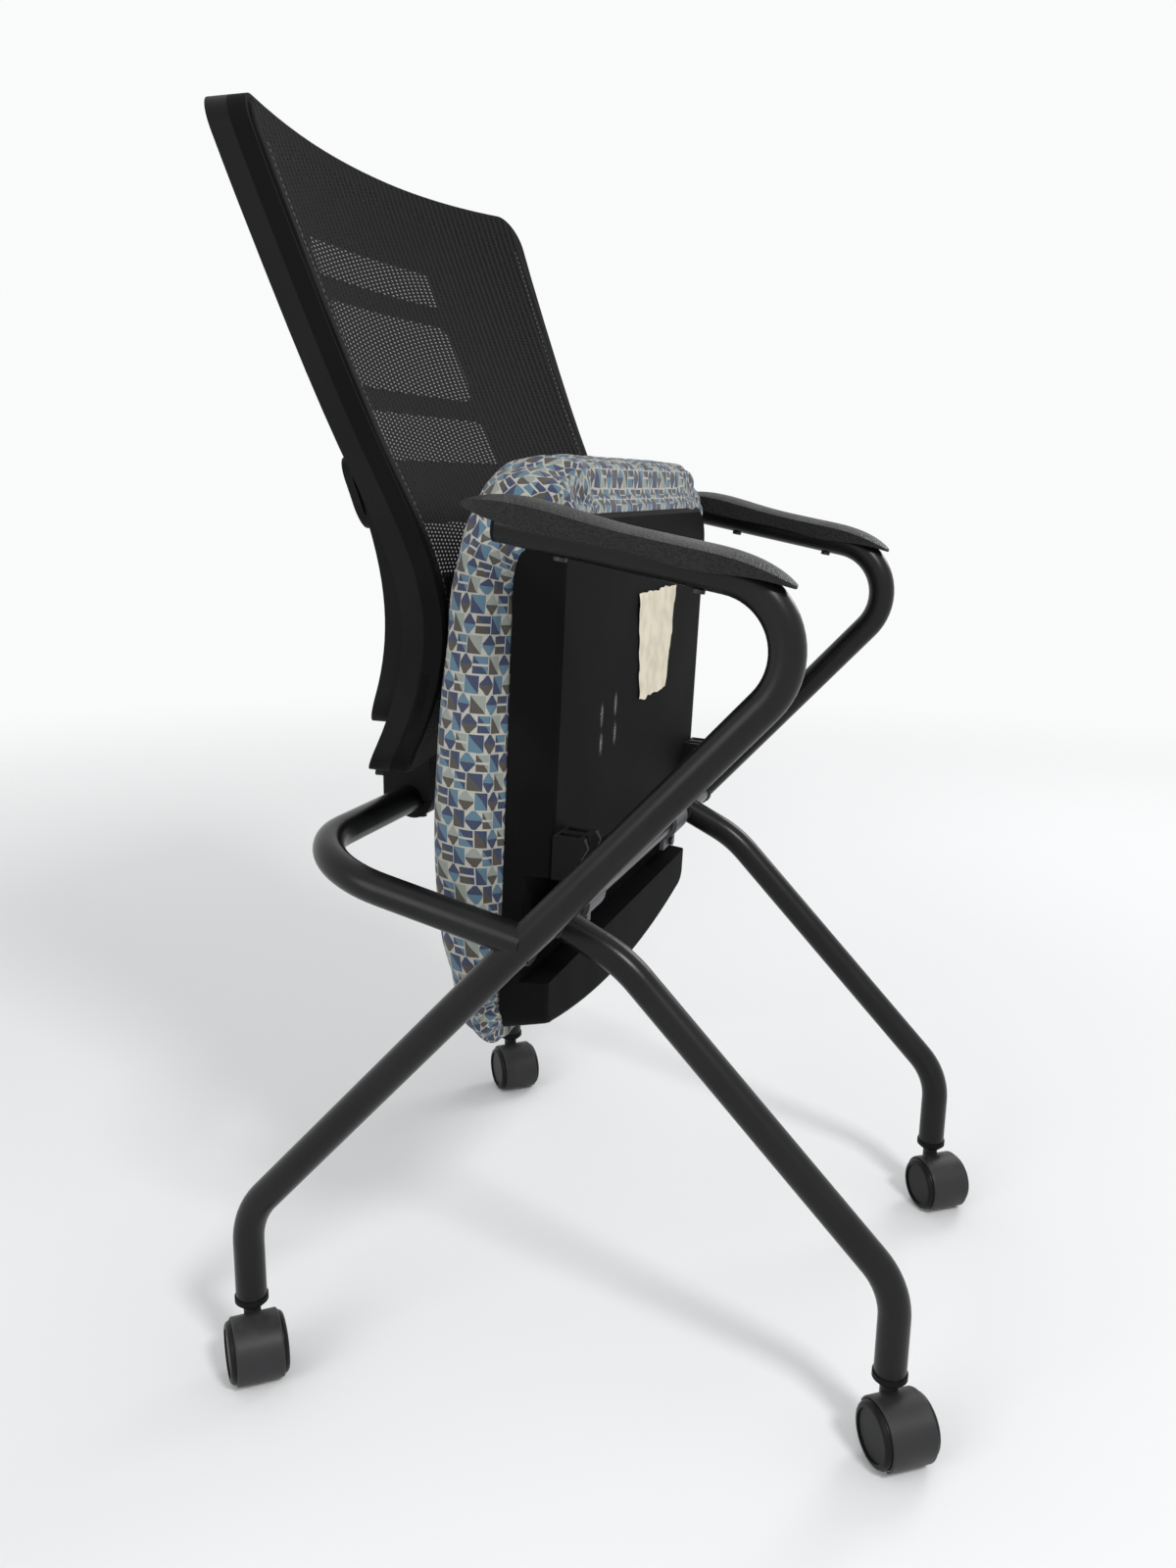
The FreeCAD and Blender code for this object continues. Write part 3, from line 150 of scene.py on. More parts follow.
class ChairSizes(bpy.types.PropertyGroup):
    """Sizes of the surface detail and of the soft pieces."""

    rib_pitch: length_property("Rib pitch", "Spacing of the mesh's upright ribs", 0.0092)
    hole_pitch: length_property("Hole pitch", "Spacing of the holes along a rib", 0.0030)
    selvedge: length_property("Selvedge", "Closed border of the mesh", 0.016)
    stitch: length_property("Stitch", "Length of one stitch", 0.0034)
    motif_width: length_property("Motif width", "Repeat of the seat cloth across", 0.0140)
    motif_height: length_property("Motif height", "Repeat of the seat cloth along", 0.0145)
    thread_pitch: length_property("Thread pitch", "Spacing of the seat cloth's threads", 0.0011)
    bead: length_property("Weld bead", "Radius of the weld beads", 0.0021)
    edge: length_property("Edge break", "Rounding on moulded edges", 0.0007)
    voxel: length_property("Cushion voxel", "Cell of the cushion's mesh before it is inflated", 0.0055)
    swell: length_property("Cushion swell", "Most that the cushion's cover may move", 0.005)
    fold: length_property("Fold depth", "Depth of the gathers at the cushion's corners", 0.0022)


class ChairStage(bpy.types.PropertyGroup):
    """Camera, floor and lamps."""

    place: FloatVectorProperty(name="Camera place", description="Where the camera stands",
                               default=(-1.0596, -0.3045, 0.7197), subtype="TRANSLATION", unit="LENGTH")
    heading: angle_property("Heading", "Turn of the view from +X towards +Y", 19.08)
    pitch: angle_property("Pitch", "Tilt of the view below the horizon", 13.40)
    roll: angle_property("Roll", "Turn of the view about its own line", 0.87)
    focal_pixels: FloatProperty(name="Focal length", description="In pixels of the photograph",
                                default=1300.1, subtype="PIXEL")
    floor: colour_property("Floor", "Pale floor", (0.86, 0.865, 0.87))
    sky: FloatProperty(name="Sky light", description="Strength of the even light", default=0.62)
    key: power_property("Key light", "Power of the main soft lamp", 43.0)
    fill: power_property("Fill light", "Power of each of the two other soft lamps", 20.0)


class ChairSettings(bpy.types.PropertyGroup):
    """All settings of the dressed chair."""

    colours: PointerProperty(type=ChairColours)
    sizes: PointerProperty(type=ChairSizes)
    stage: PointerProperty(type=ChairStage)


def settings():
    return bpy.context.scene.nesting_chair


class Field:
    """A shader value that combines with others through Python's operators."""

    def __init__(self, tree, socket):
        self.tree = tree
        self.socket = socket

    def math(self, operation, *others):
        node = self.tree.nodes.new("ShaderNodeMath")
        node.operation = operation
        for place, value in enumerate((self, *others)):
            feed(self.tree, node.inputs[place], value)
        return Field(self.tree, node.outputs[0])

    def __add__(self, other):
        return self.math("ADD", other)

    def __sub__(self, other):
        return self.math("SUBTRACT", other)

    def __mul__(self, other):
        return self.math("MULTIPLY", other)

    def __truediv__(self, other):
        return self.math("DIVIDE", other)

    def __abs__(self):
        return self.math("ABSOLUTE")

    def below(self, limit):
        return self.math("LESS_THAN", limit)

    def above(self, limit):
        return self.math("GREATER_THAN", limit)

    def ramp(self, start, end):
        """Smooth rise from 0 at start to 1 at end."""
        node = self.tree.nodes.new("ShaderNodeMapRange")
        node.interpolation_type = "SMOOTHSTEP"
        for name, value in (("Value", self), ("From Min", start), ("From Max", end)):
            feed(self.tree, node.inputs[name], value)
        return Field(self.tree, node.outputs["Result"])


def feed(tree, socket, value):
    """Give a socket a field, another socket or a plain value."""
    if isinstance(value, Field):
        value = value.socket
    if isinstance(value, bpy.types.NodeSocket):
        tree.links.new(value, socket)
    else:
        socket.default_value = value


def feed_inputs(tree, node, inputs):
    """Feed a node's inputs by name, with underscores for spaces."""
    for name, value in inputs.items():
        feed(tree, node.inputs[name.replace("_", " ")], value)


def add_node(tree, kind, outlet=0, **inputs):
    """Add a node, feed its inputs by name and return one of its outputs as a field."""
    node = tree.nodes.new(kind)
    feed_inputs(tree, node, inputs)
    return Field(tree, node.outputs[outlet])


def object_place(tree):
    return add_node(tree, "ShaderNodeTexCoord", "Object")


def stretched(tree, place, scale, shift=(0.0, 0.0, 0.0)):
    """Place scaled along its three axes and then shifted."""
    return add_node(tree, "ShaderNodeMapping", Vector=place, Scale=scale, Location=shift)


def split_place(tree, place):
    """The three parts of a place."""
    node = tree.nodes.new("ShaderNodeSeparateXYZ")
    feed(tree, node.inputs["Vector"], place)
    return [Field(tree, socket) for socket in node.outputs]


def noise_field(tree, place, scale, detail):
    return add_node(tree, "ShaderNodeTexNoise", Vector=place, Scale=scale, Detail=detail)


def mix_colour(tree, share, first, second):
    node = tree.nodes.new("ShaderNodeMix")
    node.data_type = "RGBA"
    sockets = {socket.identifier: socket for socket in node.inputs}
    feed(tree, sockets["Factor_Float"], share)
    for key, colour in (("A_Color", first), ("B_Color", second)):
        feed(tree, sockets[key], colour if isinstance(colour, Field) else (*colour, 1.0))
    result = next(socket for socket in node.outputs if socket.identifier == "Result_Color")
    return Field(tree, result)


def new_group(name, inputs, outputs):
    """Empty shader group; inputs map the names of values to their defaults."""
    tree = bpy.data.node_groups.new(name, "ShaderNodeTree")
    for label, default in inputs.items():
        socket = tree.interface.new_socket(label, in_out="INPUT", socket_type="NodeSocketFloat")
        socket.default_value = default
    for label in outputs:
        tree.interface.new_socket(label, in_out="OUTPUT", socket_type="NodeSocketFloat")
    return tree, tree.nodes.new("NodeGroupInput"), tree.nodes.new("NodeGroupOutput")


def surface_grain():
    """Fine moulded or sprayed grain: a height, and a slow drift for colour and gloss."""
    tree, entry, leave = new_group("surface_grain", {"Grain Scale": 1500.0, "Drift Scale": 14.0},
                                   ("Height", "Drift"))
    place = object_place(tree)
    fine = noise_field(tree, place, entry.outputs["Grain Scale"], 2.0)
    drift = noise_field(tree, place, entry.outputs["Drift Scale"], 4.0)
    feed_inputs(tree, leave, {"Height": fine, "Drift": drift.ramp(0.32, 0.70)})
    return tree


def handling_wear():
    """Faint scuffs and settled dust, as two masks."""
    tree, entry, leave = new_group("handling_wear", {"Scuff Scale": 60.0}, ("Scuff", "Dust"))
    place = object_place(tree)
    streak = stretched(tree, place, (1.0, 1.0, 0.22))
    scuff = noise_field(tree, streak, entry.outputs["Scuff Scale"], 5.0).ramp(0.63, 0.74)
    upward = split_place(tree, add_node(tree, "ShaderNodeNewGeometry", "Normal"))[2].ramp(0.55, 1.0)
    settled = noise_field(tree, place, 35.0, 6.0).ramp(0.42, 0.72)
    feed_inputs(tree, leave, {"Scuff": scuff, "Dust": upward * settled})
    return tree


def use_group(tree, build, **inputs):
    """Place a shared effect, built on its first use, and return its outputs by name."""
    node = tree.nodes.new("ShaderNodeGroup")
    node.node_tree = bpy.data.node_groups.get(build.__name__) or build()
    feed_inputs(tree, node, inputs)
    return {socket.name: Field(tree, socket) for socket in node.outputs}


def principled(material):
    return next(node for node in material.node_tree.nodes if node.type == "BSDF_PRINCIPLED")


def new_material(name, **constants):
    """Material with one Principled shader whose constant sockets are set directly."""
    material = bpy.data.materials.new(name)
    material.use_nodes = True
    shader = principled(material)
    feed_inputs(material.node_tree, shader, constants)
    return material, material.node_tree, shader


def set_surface(tree, shader, colour, rough, height=None, strength=1.0, depth=0.0):
    """Feed a shader's colour and roughness, and its normal where a height is given."""
    feed(tree, shader.inputs["Base Color"], colour)
    feed(tree, shader.inputs["Roughness"], rough)
    if height is not None:
        bump = add_node(tree, "ShaderNodeBump", Height=height, Strength=strength, Distance=depth)
        feed(tree, shader.inputs["Normal"], bump)


def toned(colour, share):
    """Colour made lighter or darker."""
    return tuple(min(1.0, channel * share) for channel in colour)


def hard_finish(name, colour):
    """Painted or moulded surface: grain, drifting gloss, faint scuffs and dust."""
    finish = FINISHES[name]
    material, tree, shader = new_material(name, Specular_IOR_Level=finish.specular, Metallic=finish.metallic)
    grain = use_group(tree, surface_grain, Grain_Scale=finish.grain)
    wear = use_group(tree, handling_wear)
    tone = mix_colour(tree, grain["Drift"], colour, toned(colour, DRIFT_TONE))
    scuffed = mix_colour(tree, wear["Scuff"] * finish.scuff, tone, toned(colour, SCUFF_TONE))
    dusted = mix_colour(tree, wear["Dust"] * finish.dust, scuffed, DUST_COLOUR)
    rough = grain["Drift"] * DRIFT_ROUGHNESS + wear["Dust"] * (DUST_ROUGHNESS * finish.dust) + finish.rough
    set_surface(tree, shader, dusted, rough, grain["Height"], GRAIN_STRENGTH, finish.depth)
    return material


def on_sides(*parts):
    return [f"{part}_{side}" for part in parts for side in SIDES]


def on_corners(*parts):
    return [f"{part}_{corner}" for part in parts for corner in CORNERS]


def dress(names, material, edge=0.0):
    """Put a finish on CAD nodes, and break their sharp edges where a width is given."""
    for name in names:
        node = frame["nodes"][name]
        node.data.materials.clear()
        node.data.materials.append(material)
        if edge:
            bevel = node.modifiers.new("edge_break", "BEVEL")
            bevel.width = edge
            bevel.segments = EDGE_SEGMENTS
            bevel.limit_method = "ANGLE"
            bevel.angle_limit = EDGE_ANGLE
            bevel.use_clamp_overlap = True
            shade = node.modifiers.new("even_shade", "WEIGHTED_NORMAL")
            shade.keep_sharp = False


def add_object(name, data):
    """New object in the scene's own collection."""
    piece = bpy.data.objects.new(name, data)
    bpy.context.scene.collection.objects.link(piece)
    return piece


def new_piece(name, mesh, material, body):
    """Object for a mesh, smooth shaded, riding on a body."""
    piece = add_object(name, mesh)
    mesh.materials.clear()
    mesh.materials.append(material)
    mesh.shade_smooth()
    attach(piece, body)
    return piece


def surface_of(*names):
    """Search tree over the surfaces of CAD nodes."""
    points, faces = [], []
    for name in names:
        mesh = frame["nodes"][name].data
        start = len(points)
        points += [vertex.co.copy() for vertex in mesh.vertices]
        faces += [[start + index for index in polygon.vertices] for polygon in mesh.polygons]
    return BVHTree.FromPolygons(points, faces)


def met_from_front(surface, x, z):
    """First point of a surface on a line that comes from the chair's front, or None."""
    return surface.ray_cast(Vector((x, -1, z)), Vector((0, 1, 0)))[0]


def to_seat(point):
    """Point in the seat's own frame: flat, about the pivot."""
    return Matrix.Rotation(SEAT_FOLD, 3, "X") @ (point - SEAT_PIVOT)


def from_seat(point):
    return Matrix.Rotation(-SEAT_FOLD, 3, "X") @ point + SEAT_PIVOT


def ease(start, end, value):
    """Smooth rise from 0 at start to 1 at end."""
    share = min(1.0, max(0.0, (value - start) / (end - start)))
    return share * share * (3 - 2 * share)


def evenly(points, spacing):
    """Points spaced evenly along an open run of points."""
    lengths = [0.0]
    for start, end in zip(points, points[1:]):
        lengths.append(lengths[-1] + (end - start).length)
    count = max(3, round(lengths[-1] / spacing))
    result = []
    piece = 0
    for step in range(count + 1):
        reach = lengths[-1] * step / count
        while piece < len(points) - 2 and lengths[piece + 1] < reach:
            piece += 1
        span = lengths[piece + 1] - lengths[piece]
        share = (reach - lengths[piece]) / span if span else 0.0
        result.append(points[piece].lerp(points[piece + 1], share))
    return result


def grid_faces(rows, columns, ring=False):
    """Quads over points laid row by row; in a ring, rows and columns both close on themselves."""
    return [(row * columns + i, row * columns + (i + 1) % columns,
             (row + 1) % rows * columns + (i + 1) % columns, (row + 1) % rows * columns + i)
            for row in range(rows if ring else rows - 1) for i in range(columns if ring else columns - 1)]


def mesh_from(name, points, faces):
    mesh = bpy.data.meshes.new(name)
    mesh.from_pydata([tuple(point) for point in points], [], faces)
    mesh.validate()
    mesh.update()
    return mesh


def set_attribute(mesh, name, values, kind="FLOAT_VECTOR"):
    layer = mesh.attributes.new(name, kind, "POINT")
    for item, value in zip(layer.data, values):
        if kind == "FLOAT":
            item.value = value
        else:
            item.vector = value


def read_attribute(tree, name, outlet="Vector"):
    node = tree.nodes.new("ShaderNodeAttribute")
    node.attribute_name = name
    return Field(tree, node.outputs[outlet])


class CHAIR_OT_tubes(bpy.types.Operator):
    """Powder-coat the bent tubes and lay the weld beads"""

    bl_idname = "chair.tubes"
    bl_label = "Tubes and welds"

    # Points round a bead and round its section, its ripple, and the distances that it is sought from.
    bead_steps, bead_section = 72, 8
    ripple, ripple_steps = 0.10, 3
    tube_reach, leg_reach = 0.20, 0.05
    leg_rise = math.radians(26)

    def execute(self, context):
        chair = settings()
        paint = hard_finish("satin_powder_coat", chair.colours.tube)
        dress(["cross_tube", "rear_u_tube", *on_sides("side_tube", "front_leg")], paint)
        low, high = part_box("cross_tube")
        radius = (high.z - low.z) / 2
        up_leg = Vector((0, math.cos(self.leg_rise), math.sin(self.leg_rise)))
        points, faces = [], []
        for side, sign in SIDES.items():
            across = Vector((sign, 0, 0))
            leg_low, leg_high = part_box(f"front_leg_{side}")
            leg = Vector(((leg_low.x + leg_high.x) / 2, SEAT_PIVOT.y, SEAT_PIVOT.z))
            for start, axis, target in (
                    (SEAT_PIVOT + across * self.tube_reach, across, f"side_tube_{side}"),
                    (leg - up_leg * self.leg_reach, up_leg, "cross_tube")):
                bead = self.weld_bead(start, axis, radius, surface_of(target), chair.sizes.bead)
                faces += [[index + len(points) for index in face] for face in bead[1]]
                points += bead[0]
        new_piece("weld_beads", mesh_from("weld_beads", points, faces), paint, "frame")
        return {"FINISHED"}

    def weld_bead(self, start, axis, radius, target, bead):
        """Rippled bead where a round tube runs into another surface along its axis."""
        side = axis.orthogonal().normalized()
        up = axis.cross(side)
        path = []
        for step in range(self.bead_steps):
            turn = 2 * math.pi * step / self.bead_steps
            out = side * math.cos(turn) + up * math.sin(turn)
            hit = target.ray_cast(start + out * radius, axis)[0]
            if hit is not None:
                path.append((hit, out))
        points = []
        for step, (spot, out) in enumerate(path):
            size = bead * (1.0 + self.ripple * math.sin(step * 2 * math.pi / self.ripple_steps))
            for corner in range(self.bead_section):
                turn = 2 * math.pi * corner / self.bead_section
                points.append(spot + (out * math.cos(turn) + axis * math.sin(turn)) * size)
        return points, grid_faces(len(path), self.bead_section, ring=True)


class CHAIR_OT_mouldings(bpy.types.Operator):
    """Finish the back's mouldings, the seat shell and the pivot parts"""

    bl_idname = "chair.mouldings"
    bl_label = "Mouldings"

    # Rub marks: middles in the seat's frame, reach in the chair's frame, colour.
    rubs = [(-0.066, -0.148), (-0.101, -0.144), (-0.0645, -0.123), (-0.100, -0.1205)]
    rub_size = Vector((0.0050, 0.02, 0.0125))
    rub_colour = (0.26, 0.24, 0.22)
    # Label: middle and half size in the seat's frame, taper, ragged edge, and lift off the shell.
    label_middle = (0.040, -0.188)
    label_half = (0.050, 0.047)
    label_steps = 20
    label_taper = 0.18
    ragged_x, ragged_y, edge_power = 0.004, 0.003, 6
    lift, crease_lift, crease_share = 0.0004, 0.0012, 0.3
    worn_paper, dark_grain = 0.82, 0.6

    def execute(self, context):
        chair = settings()
        colours, edge = chair.colours, chair.sizes.edge
        black = hard_finish("grained_moulding", colours.moulding)
        dress(["back_frame", "back_support", "lumbar_bar", "back_bracket", "clamp_cap",
               *on_sides("arm_plug", "rest_block", "pivot_bearing"), *on_corners("caster_socket")],
              black, edge)
        shell = hard_finish("seat_shell_moulding", colours.shell)
        self.rub_marks(shell)
        dress(["seat_shell"], shell, edge)
        self.label(colours.paper)
        strap = hard_finish("strap_moulding", colours.strap)
        dress(on_sides("bearing_strap"), strap, edge)
        dress(["seat_board"], self.plywood(colours.wood))
        dress(["mesh_carrier"], hard_finish("border_cloth", colours.knit))
        return {"FINISHED"}

    def rub_marks(self, material):
        """Pale rub marks on the shell's underside."""
        tree, shader = material.node_tree, principled(material)
        tone = Field(tree, shader.inputs["Base Color"].links[0].from_socket)
        place = object_place(tree)
        streak = noise_field(tree, place, 700.0, 4.0).ramp(0.35, 0.65)
        for x, y in self.rubs:
            spot = from_seat(Vector((x, y, 0)))
            near = stretched(tree, place, [1 / reach for reach in self.rub_size],
                             [-middle / reach for middle, reach in zip(spot, self.rub_size)])
            fade = tree.nodes.new("ShaderNodeTexGradient")
            fade.gradient_type = "SPHERICAL"
            feed(tree, fade.inputs["Vector"], near)
            mark = Field(tree, fade.outputs["Fac"]).ramp(0.0, 0.8) * streak
            tone = mix_colour(tree, mark, tone, self.rub_colour)
        feed(tree, shader.inputs["Base Color"], tone)

    def label(self, colour):
        """Blank paper label, creased and lifting at its edges."""
        shell = surface_of("seat_shell")
        outward = SEAT_PIVOT - from_seat(Vector((0, 0, 1)))
        wide = self.label_steps + 1
        points = []
        for row in range(wide):
            for column in range(wide):
                share = [2 * step / self.label_steps - 1 for step in (column, row)]
                x, y = (middle + half * way for middle, half, way
                        in zip(self.label_middle, self.label_half, share))
                ragged = noise.noise(Vector((x * 90, y * 90, 0)))
                edge = max(abs(way) for way in share) ** self.edge_power
                x += self.ragged_x * ragged * edge - self.label_taper * (y - self.label_middle[1]) * share[0]
                y += self.ragged_y * ragged * edge
                spot = shell.ray_cast(from_seat(Vector((x, y, -0.1))), -outward)[0]
                crease = 0.5 + 0.5 * noise.noise(Vector((x * 25, y * 60, 3)))
                points.append(spot + outward * (self.lift + self.crease_lift * crease
                                                * (self.crease_share + edge)))
        material, tree, shader = new_material("label_paper", Specular_IOR_Level=0.2)
        mottle = noise_field(tree, object_place(tree), 60.0, 5.0)
        tone = mix_colour(tree, mottle.ramp(0.35, 0.7), colour, toned(colour, self.worn_paper))
        set_surface(tree, shader, tone, mottle * 0.1 + 0.7, mottle, 0.3, 0.0006)
        new_piece("blank_label", mesh_from("blank_label", points, grid_faces(wide, wide)), material, "seat")

    def plywood(self, colour):
        """Plain plywood with long grain."""
        material, tree, shader = new_material("plywood")
        figure = noise_field(tree, stretched(tree, object_place(tree), (2.0, 30.0, 30.0)), 6.0, 6.0)
        tone = mix_colour(tree, figure, colour, toned(colour, self.dark_grain))
        set_surface(tree, shader, tone, figure * 0.2 + 0.55)
        return material


class CHAIR_OT_arm_pads(bpy.types.Operator):
    """Give the arm pads their stippled soft-touch skin"""

    bl_idname = "chair.arm_pads"
    bl_label = "Arm pads"

    stipple_scale, grain_scale = 560.0, 2600.0
    # Colour of the stipple's hollows darkened as painted shade, and of its peaks lightened as painted
    # highlight
    hollow_tone, peak_tone = 0.75, 1.5
    dust_share, dust_colour = 0.25, (0.10, 0.10, 0.098)

    def execute(self, context):
        chair = settings()
        colour = chair.colours.pad
        material, tree, shader = new_material("stippled_pad", Specular_IOR_Level=0.22)
        stipple = add_node(tree, "ShaderNodeTexVoronoi", "Distance", Vector=object_place(tree),
                           Scale=self.stipple_scale)
        wear = use_group(tree, handling_wear)
        grain = use_group(tree, surface_grain, Grain_Scale=self.grain_scale)
        peak = stipple.ramp(0.55, 0.15)
        # Painted highlight on the stipple's peaks and painted shade in its hollows, mixed into the pad's
        # colour
        tone = mix_colour(tree, peak, toned(colour, self.hollow_tone), toned(colour, self.peak_tone))
        dusted = mix_colour(tree, wear["Dust"] * self.dust_share, tone, self.dust_colour)
        rough = peak * -0.15 + grain["Drift"] * 0.08 + 0.42
        set_surface(tree, shader, dusted, rough, peak + grain["Height"] * 0.3, 1.0, 0.0009)
        dress(on_sides("arm_pad"), material, chair.sizes.edge)
        return {"FINISHED"}


class BackOutline:
    """Front view of the mesh: a rounded shape, wider at the top, whose top edge dips in the middle."""

    foot_half = 0.204
    corner = 0.026
    settle_power = 6
    edge_steps = 80
    end_margin, side_margin = 0.004, 0.003
    far_above = 0.3

    def __init__(self):
        low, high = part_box("mesh_carrier")
        self.bottom, self.top, self.top_half = low.z, high.z, high.x
        above = Vector((0, high.y, high.z + self.far_above))
        self.dip = high.z - surface_of("mesh_carrier").find_nearest(above)[0].z
        self.face = surface_of("back_mesh")

    def half(self, height, inset):
        """Half width at a height, drawn in by an inset."""
        share = (height - self.bottom) / (self.top - self.bottom)
        wide = self.foot_half + (self.top_half - self.foot_half) * share - inset
        gap = max(0.0, min(height - self.bottom, self.top - height) - inset)
        if gap < self.corner:
            wide -= self.corner - math.sqrt(self.corner ** 2 - (self.corner - gap) ** 2)
        return wide

    def crown(self, x):
        """Height of the top edge."""
        return self.top - self.dip * (1 - (x / self.top_half) ** 2)

    def settle(self, x, level):
        """Height of a level where the top edge draws it down."""
        share = (level - self.bottom) / (self.top - self.bottom)
        return level - (self.top - self.crown(x)) * share ** self.settle_power

    def heights(self, inset, count):
        """Heights crowded towards both ends."""
        middle, reach = (self.bottom + self.top) / 2, (self.top - self.bottom) / 2 - inset
        return [middle - reach * math.cos(math.pi * step / count) for step in range(count + 1)]

    def edge(self, sign, inset, short, spacing):
        """One upright edge as evenly spaced points at zero depth."""
        return evenly([Vector((sign * self.half(height, inset), 0, height))
                       for height in self.heights(short, self.edge_steps)], spacing)

    def on_face(self, x, z):
        """Point on the mesh's front; a place past the edge takes the depth of the nearest one inside."""
        hit = met_from_front(self.face, x, z)
        if hit is None:
            inner_z = min(max(z, self.bottom + self.end_margin), self.crown(x) - self.end_margin)
            limit = self.half(inner_z, self.side_margin)
            near = met_from_front(self.face, min(max(x, -limit), limit), inner_z)
            hit = Vector((x, near.y, z))
        return hit


class CHAIR_OT_mesh_back(bpy.types.Operator):
    """Stretch the mesh over its carrier and sew its border"""

    bl_idname = "chair.mesh_back"
    bl_label = "Mesh back"

    # Sheet: size when flat, cells, and the border's turn as steps of (gap to the outline, way back).
    flat = (0.53, 0.60)
    inset = 0.004
    columns, rows = 96, 110
    wrap = ((0.0022, 0.0006), (0.0008, 0.0020), (0.0000, 0.0042), (-0.0004, 0.0080), (-0.0004, 0.0138))
    # Knit: shape of a hole in its cell, share of light let through, tones of the painted shade in the
    # hollows and the painted highlight on the ribs.
    hole_wide, hole_tall, hole_sight = 2.7, 2.4, 0.26
    hollow_tone, rib_tone = 0.7, 1.9
    # Stitches: distance from the ends, pitch in stitch lengths, lean, half width, shoulder, heights.
    end_gap, stitch_pitch, lean = 0.03, 1.35, 0.55
    thread_half, shoulder = 0.00045, 0.6
    thread_foot, thread_top = 0.0001, 0.0006
    stitch_faces = ((0, 1, 6), (1, 2, 7, 6), (2, 3, 7), (3, 4, 7), (4, 5, 6, 7), (5, 0, 6))

    def execute(self, context):
        chair = settings()
        outline = BackOutline()
        sheet = new_piece("mesh_sheet", self.sheet_mesh(outline), self.knit(chair), "frame")
        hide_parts("back_mesh")
        thread = hard_finish("border_thread", chair.colours.thread)
        new_piece("border_stitches", self.stitches(outline, chair.sizes), thread, "frame")
        return {"FINISHED"}

    def sheet_mesh(self, outline):
        """Grid over the front face, with its border rolled back round the carrier."""
        points, places, borders = [], [], []
        wide = self.columns + 1
        reach = [0.0] * wide
        for row, level in enumerate(outline.heights(self.inset, self.rows)):
            half = outline.half(level, self.inset)
            for column in range(wide):
                x = half * (2 * column / self.columns - 1)
                point = outline.on_face(x, outline.settle(x, level))
                if row:
                    reach[column] += (point - points[-wide]).length
                points.append(point)
                places.append((x, reach[column], 0.0))
                side_gap = outline.half(level, 0.0) - abs(x)
                borders.append(min(side_gap, level - outline.bottom, outline.top - level))
        faces = grid_faces(self.rows + 1, wide)
        rim = list(range(self.columns)) + [row * wide + self.columns for row in range(self.rows)]
        rim += [self.rows * wide + i for i in range(self.columns, 0, -1)]
        rim += [row * wide for row in range(self.rows, 0, -1)]
        count = len(rim)
        outward = []
        for i in range(count):
            run = points[rim[(i + 1) % count]] - points[rim[i - 1]]
            outward.append(Vector((run.z, 0, -run.x)).normalized())
        previous = rim
        for gap, back in self.wrap:
            current = list(range(len(points), len(points) + count))
            for index, out in zip(rim, outward):
                points.append(points[index] + out * (self.inset - gap) + Vector((0, back, 0)))
                places.append(places[index])
                borders.append(0.0)
            faces += [(previous[i], current[i], current[(i + 1) % count], previous[(i + 1) % count])
                      for i in range(count)]
            previous = current
        mesh = mesh_from("mesh_sheet", points, faces)
        set_attribute(mesh, "knit_place", places)
        set_attribute(mesh, "border_gap", borders, "FLOAT")
        return mesh

    def knit(self, chair):
        """Ribbed mesh with staggered holes between the ribs and a closed border; the ribs are painted
        lighter as painted highlight and the hollows darker as painted shade.
        """
        sizes, colour = chair.sizes, chair.colours.knit
        material, tree, shader = new_material("ribbed_mesh", Specular_IOR_Level=0.03)
        place = read_attribute(tree, "knit_place")
        x, y, _ = split_place(tree, place)
        across = x / sizes.rib_pitch
        column = across.math("FLOOR")
        u = across - column - 0.5
        shifted = y / sizes.hole_pitch + column * 0.5
        v = shifted - shifted.math("FLOOR") - 0.5
        reach = (u * self.hole_wide).math("POWER", 2.0) + (v * self.hole_tall).math("POWER", 2.0)
        hole = reach.ramp(0.36, 0.26)
        gap = read_attribute(tree, "border_gap", "Fac")
        open_field = gap.ramp(sizes.selvedge, sizes.selvedge + 0.001)
        rib = abs(u).ramp(0.18, 0.5)
        strand = noise_field(tree, place, 900.0, 3.0)
        # Ribs painted lighter as painted highlight and hollows darker as painted shade, with a random strand
        # tone
        tone = mix_colour(tree, rib * 0.6 + strand * 0.4, toned(colour, self.hollow_tone),
                          toned(colour, self.rib_tone))
        set_surface(tree, shader, tone, strand * 0.15 + 0.55, rib + strand * 0.3 - hole, 0.6, 0.0006)
        feed(tree, shader.inputs["Alpha"], hole * open_field * -self.hole_sight + 1.0)
        return material

    def stitches(self, outline, sizes):
        """Zigzag of short threads along both upright borders."""
        points, faces = [], []
        for sign in SIDES.values():
            seam = outline.edge(sign, sizes.selvedge, self.end_gap, sizes.stitch * self.stitch_pitch)
            for number in range(1, len(seam) - 1):
                spot = seam[number]
                run = (seam[number + 1] - seam[number - 1]).normalized()
                across = Vector((run.z, 0, -run.x))
                slant = self.lean if number % 2 else -self.lean
                along = (run + across * slant).normalized() * sizes.stitch / 2
                wide = along.cross(Vector((0, 1, 0))).normalized() * self.thread_half
                inner = along * self.shoulder
                foot = [-along, -inner + wide, inner + wide, along, inner - wide, -inner - wide]
                faces += [[len(points) + i for i in face] for face in self.stitch_faces]
                for step, proud in [*((corner, self.thread_foot) for corner in foot),
                                    (-inner, self.thread_top), (inner, self.thread_top)]:
                    top = outline.on_face(spot.x + step.x, spot.z + step.z)
                    points.append(top - Vector((0, proud, 0)))
        return mesh_from("border_stitches", points, faces)


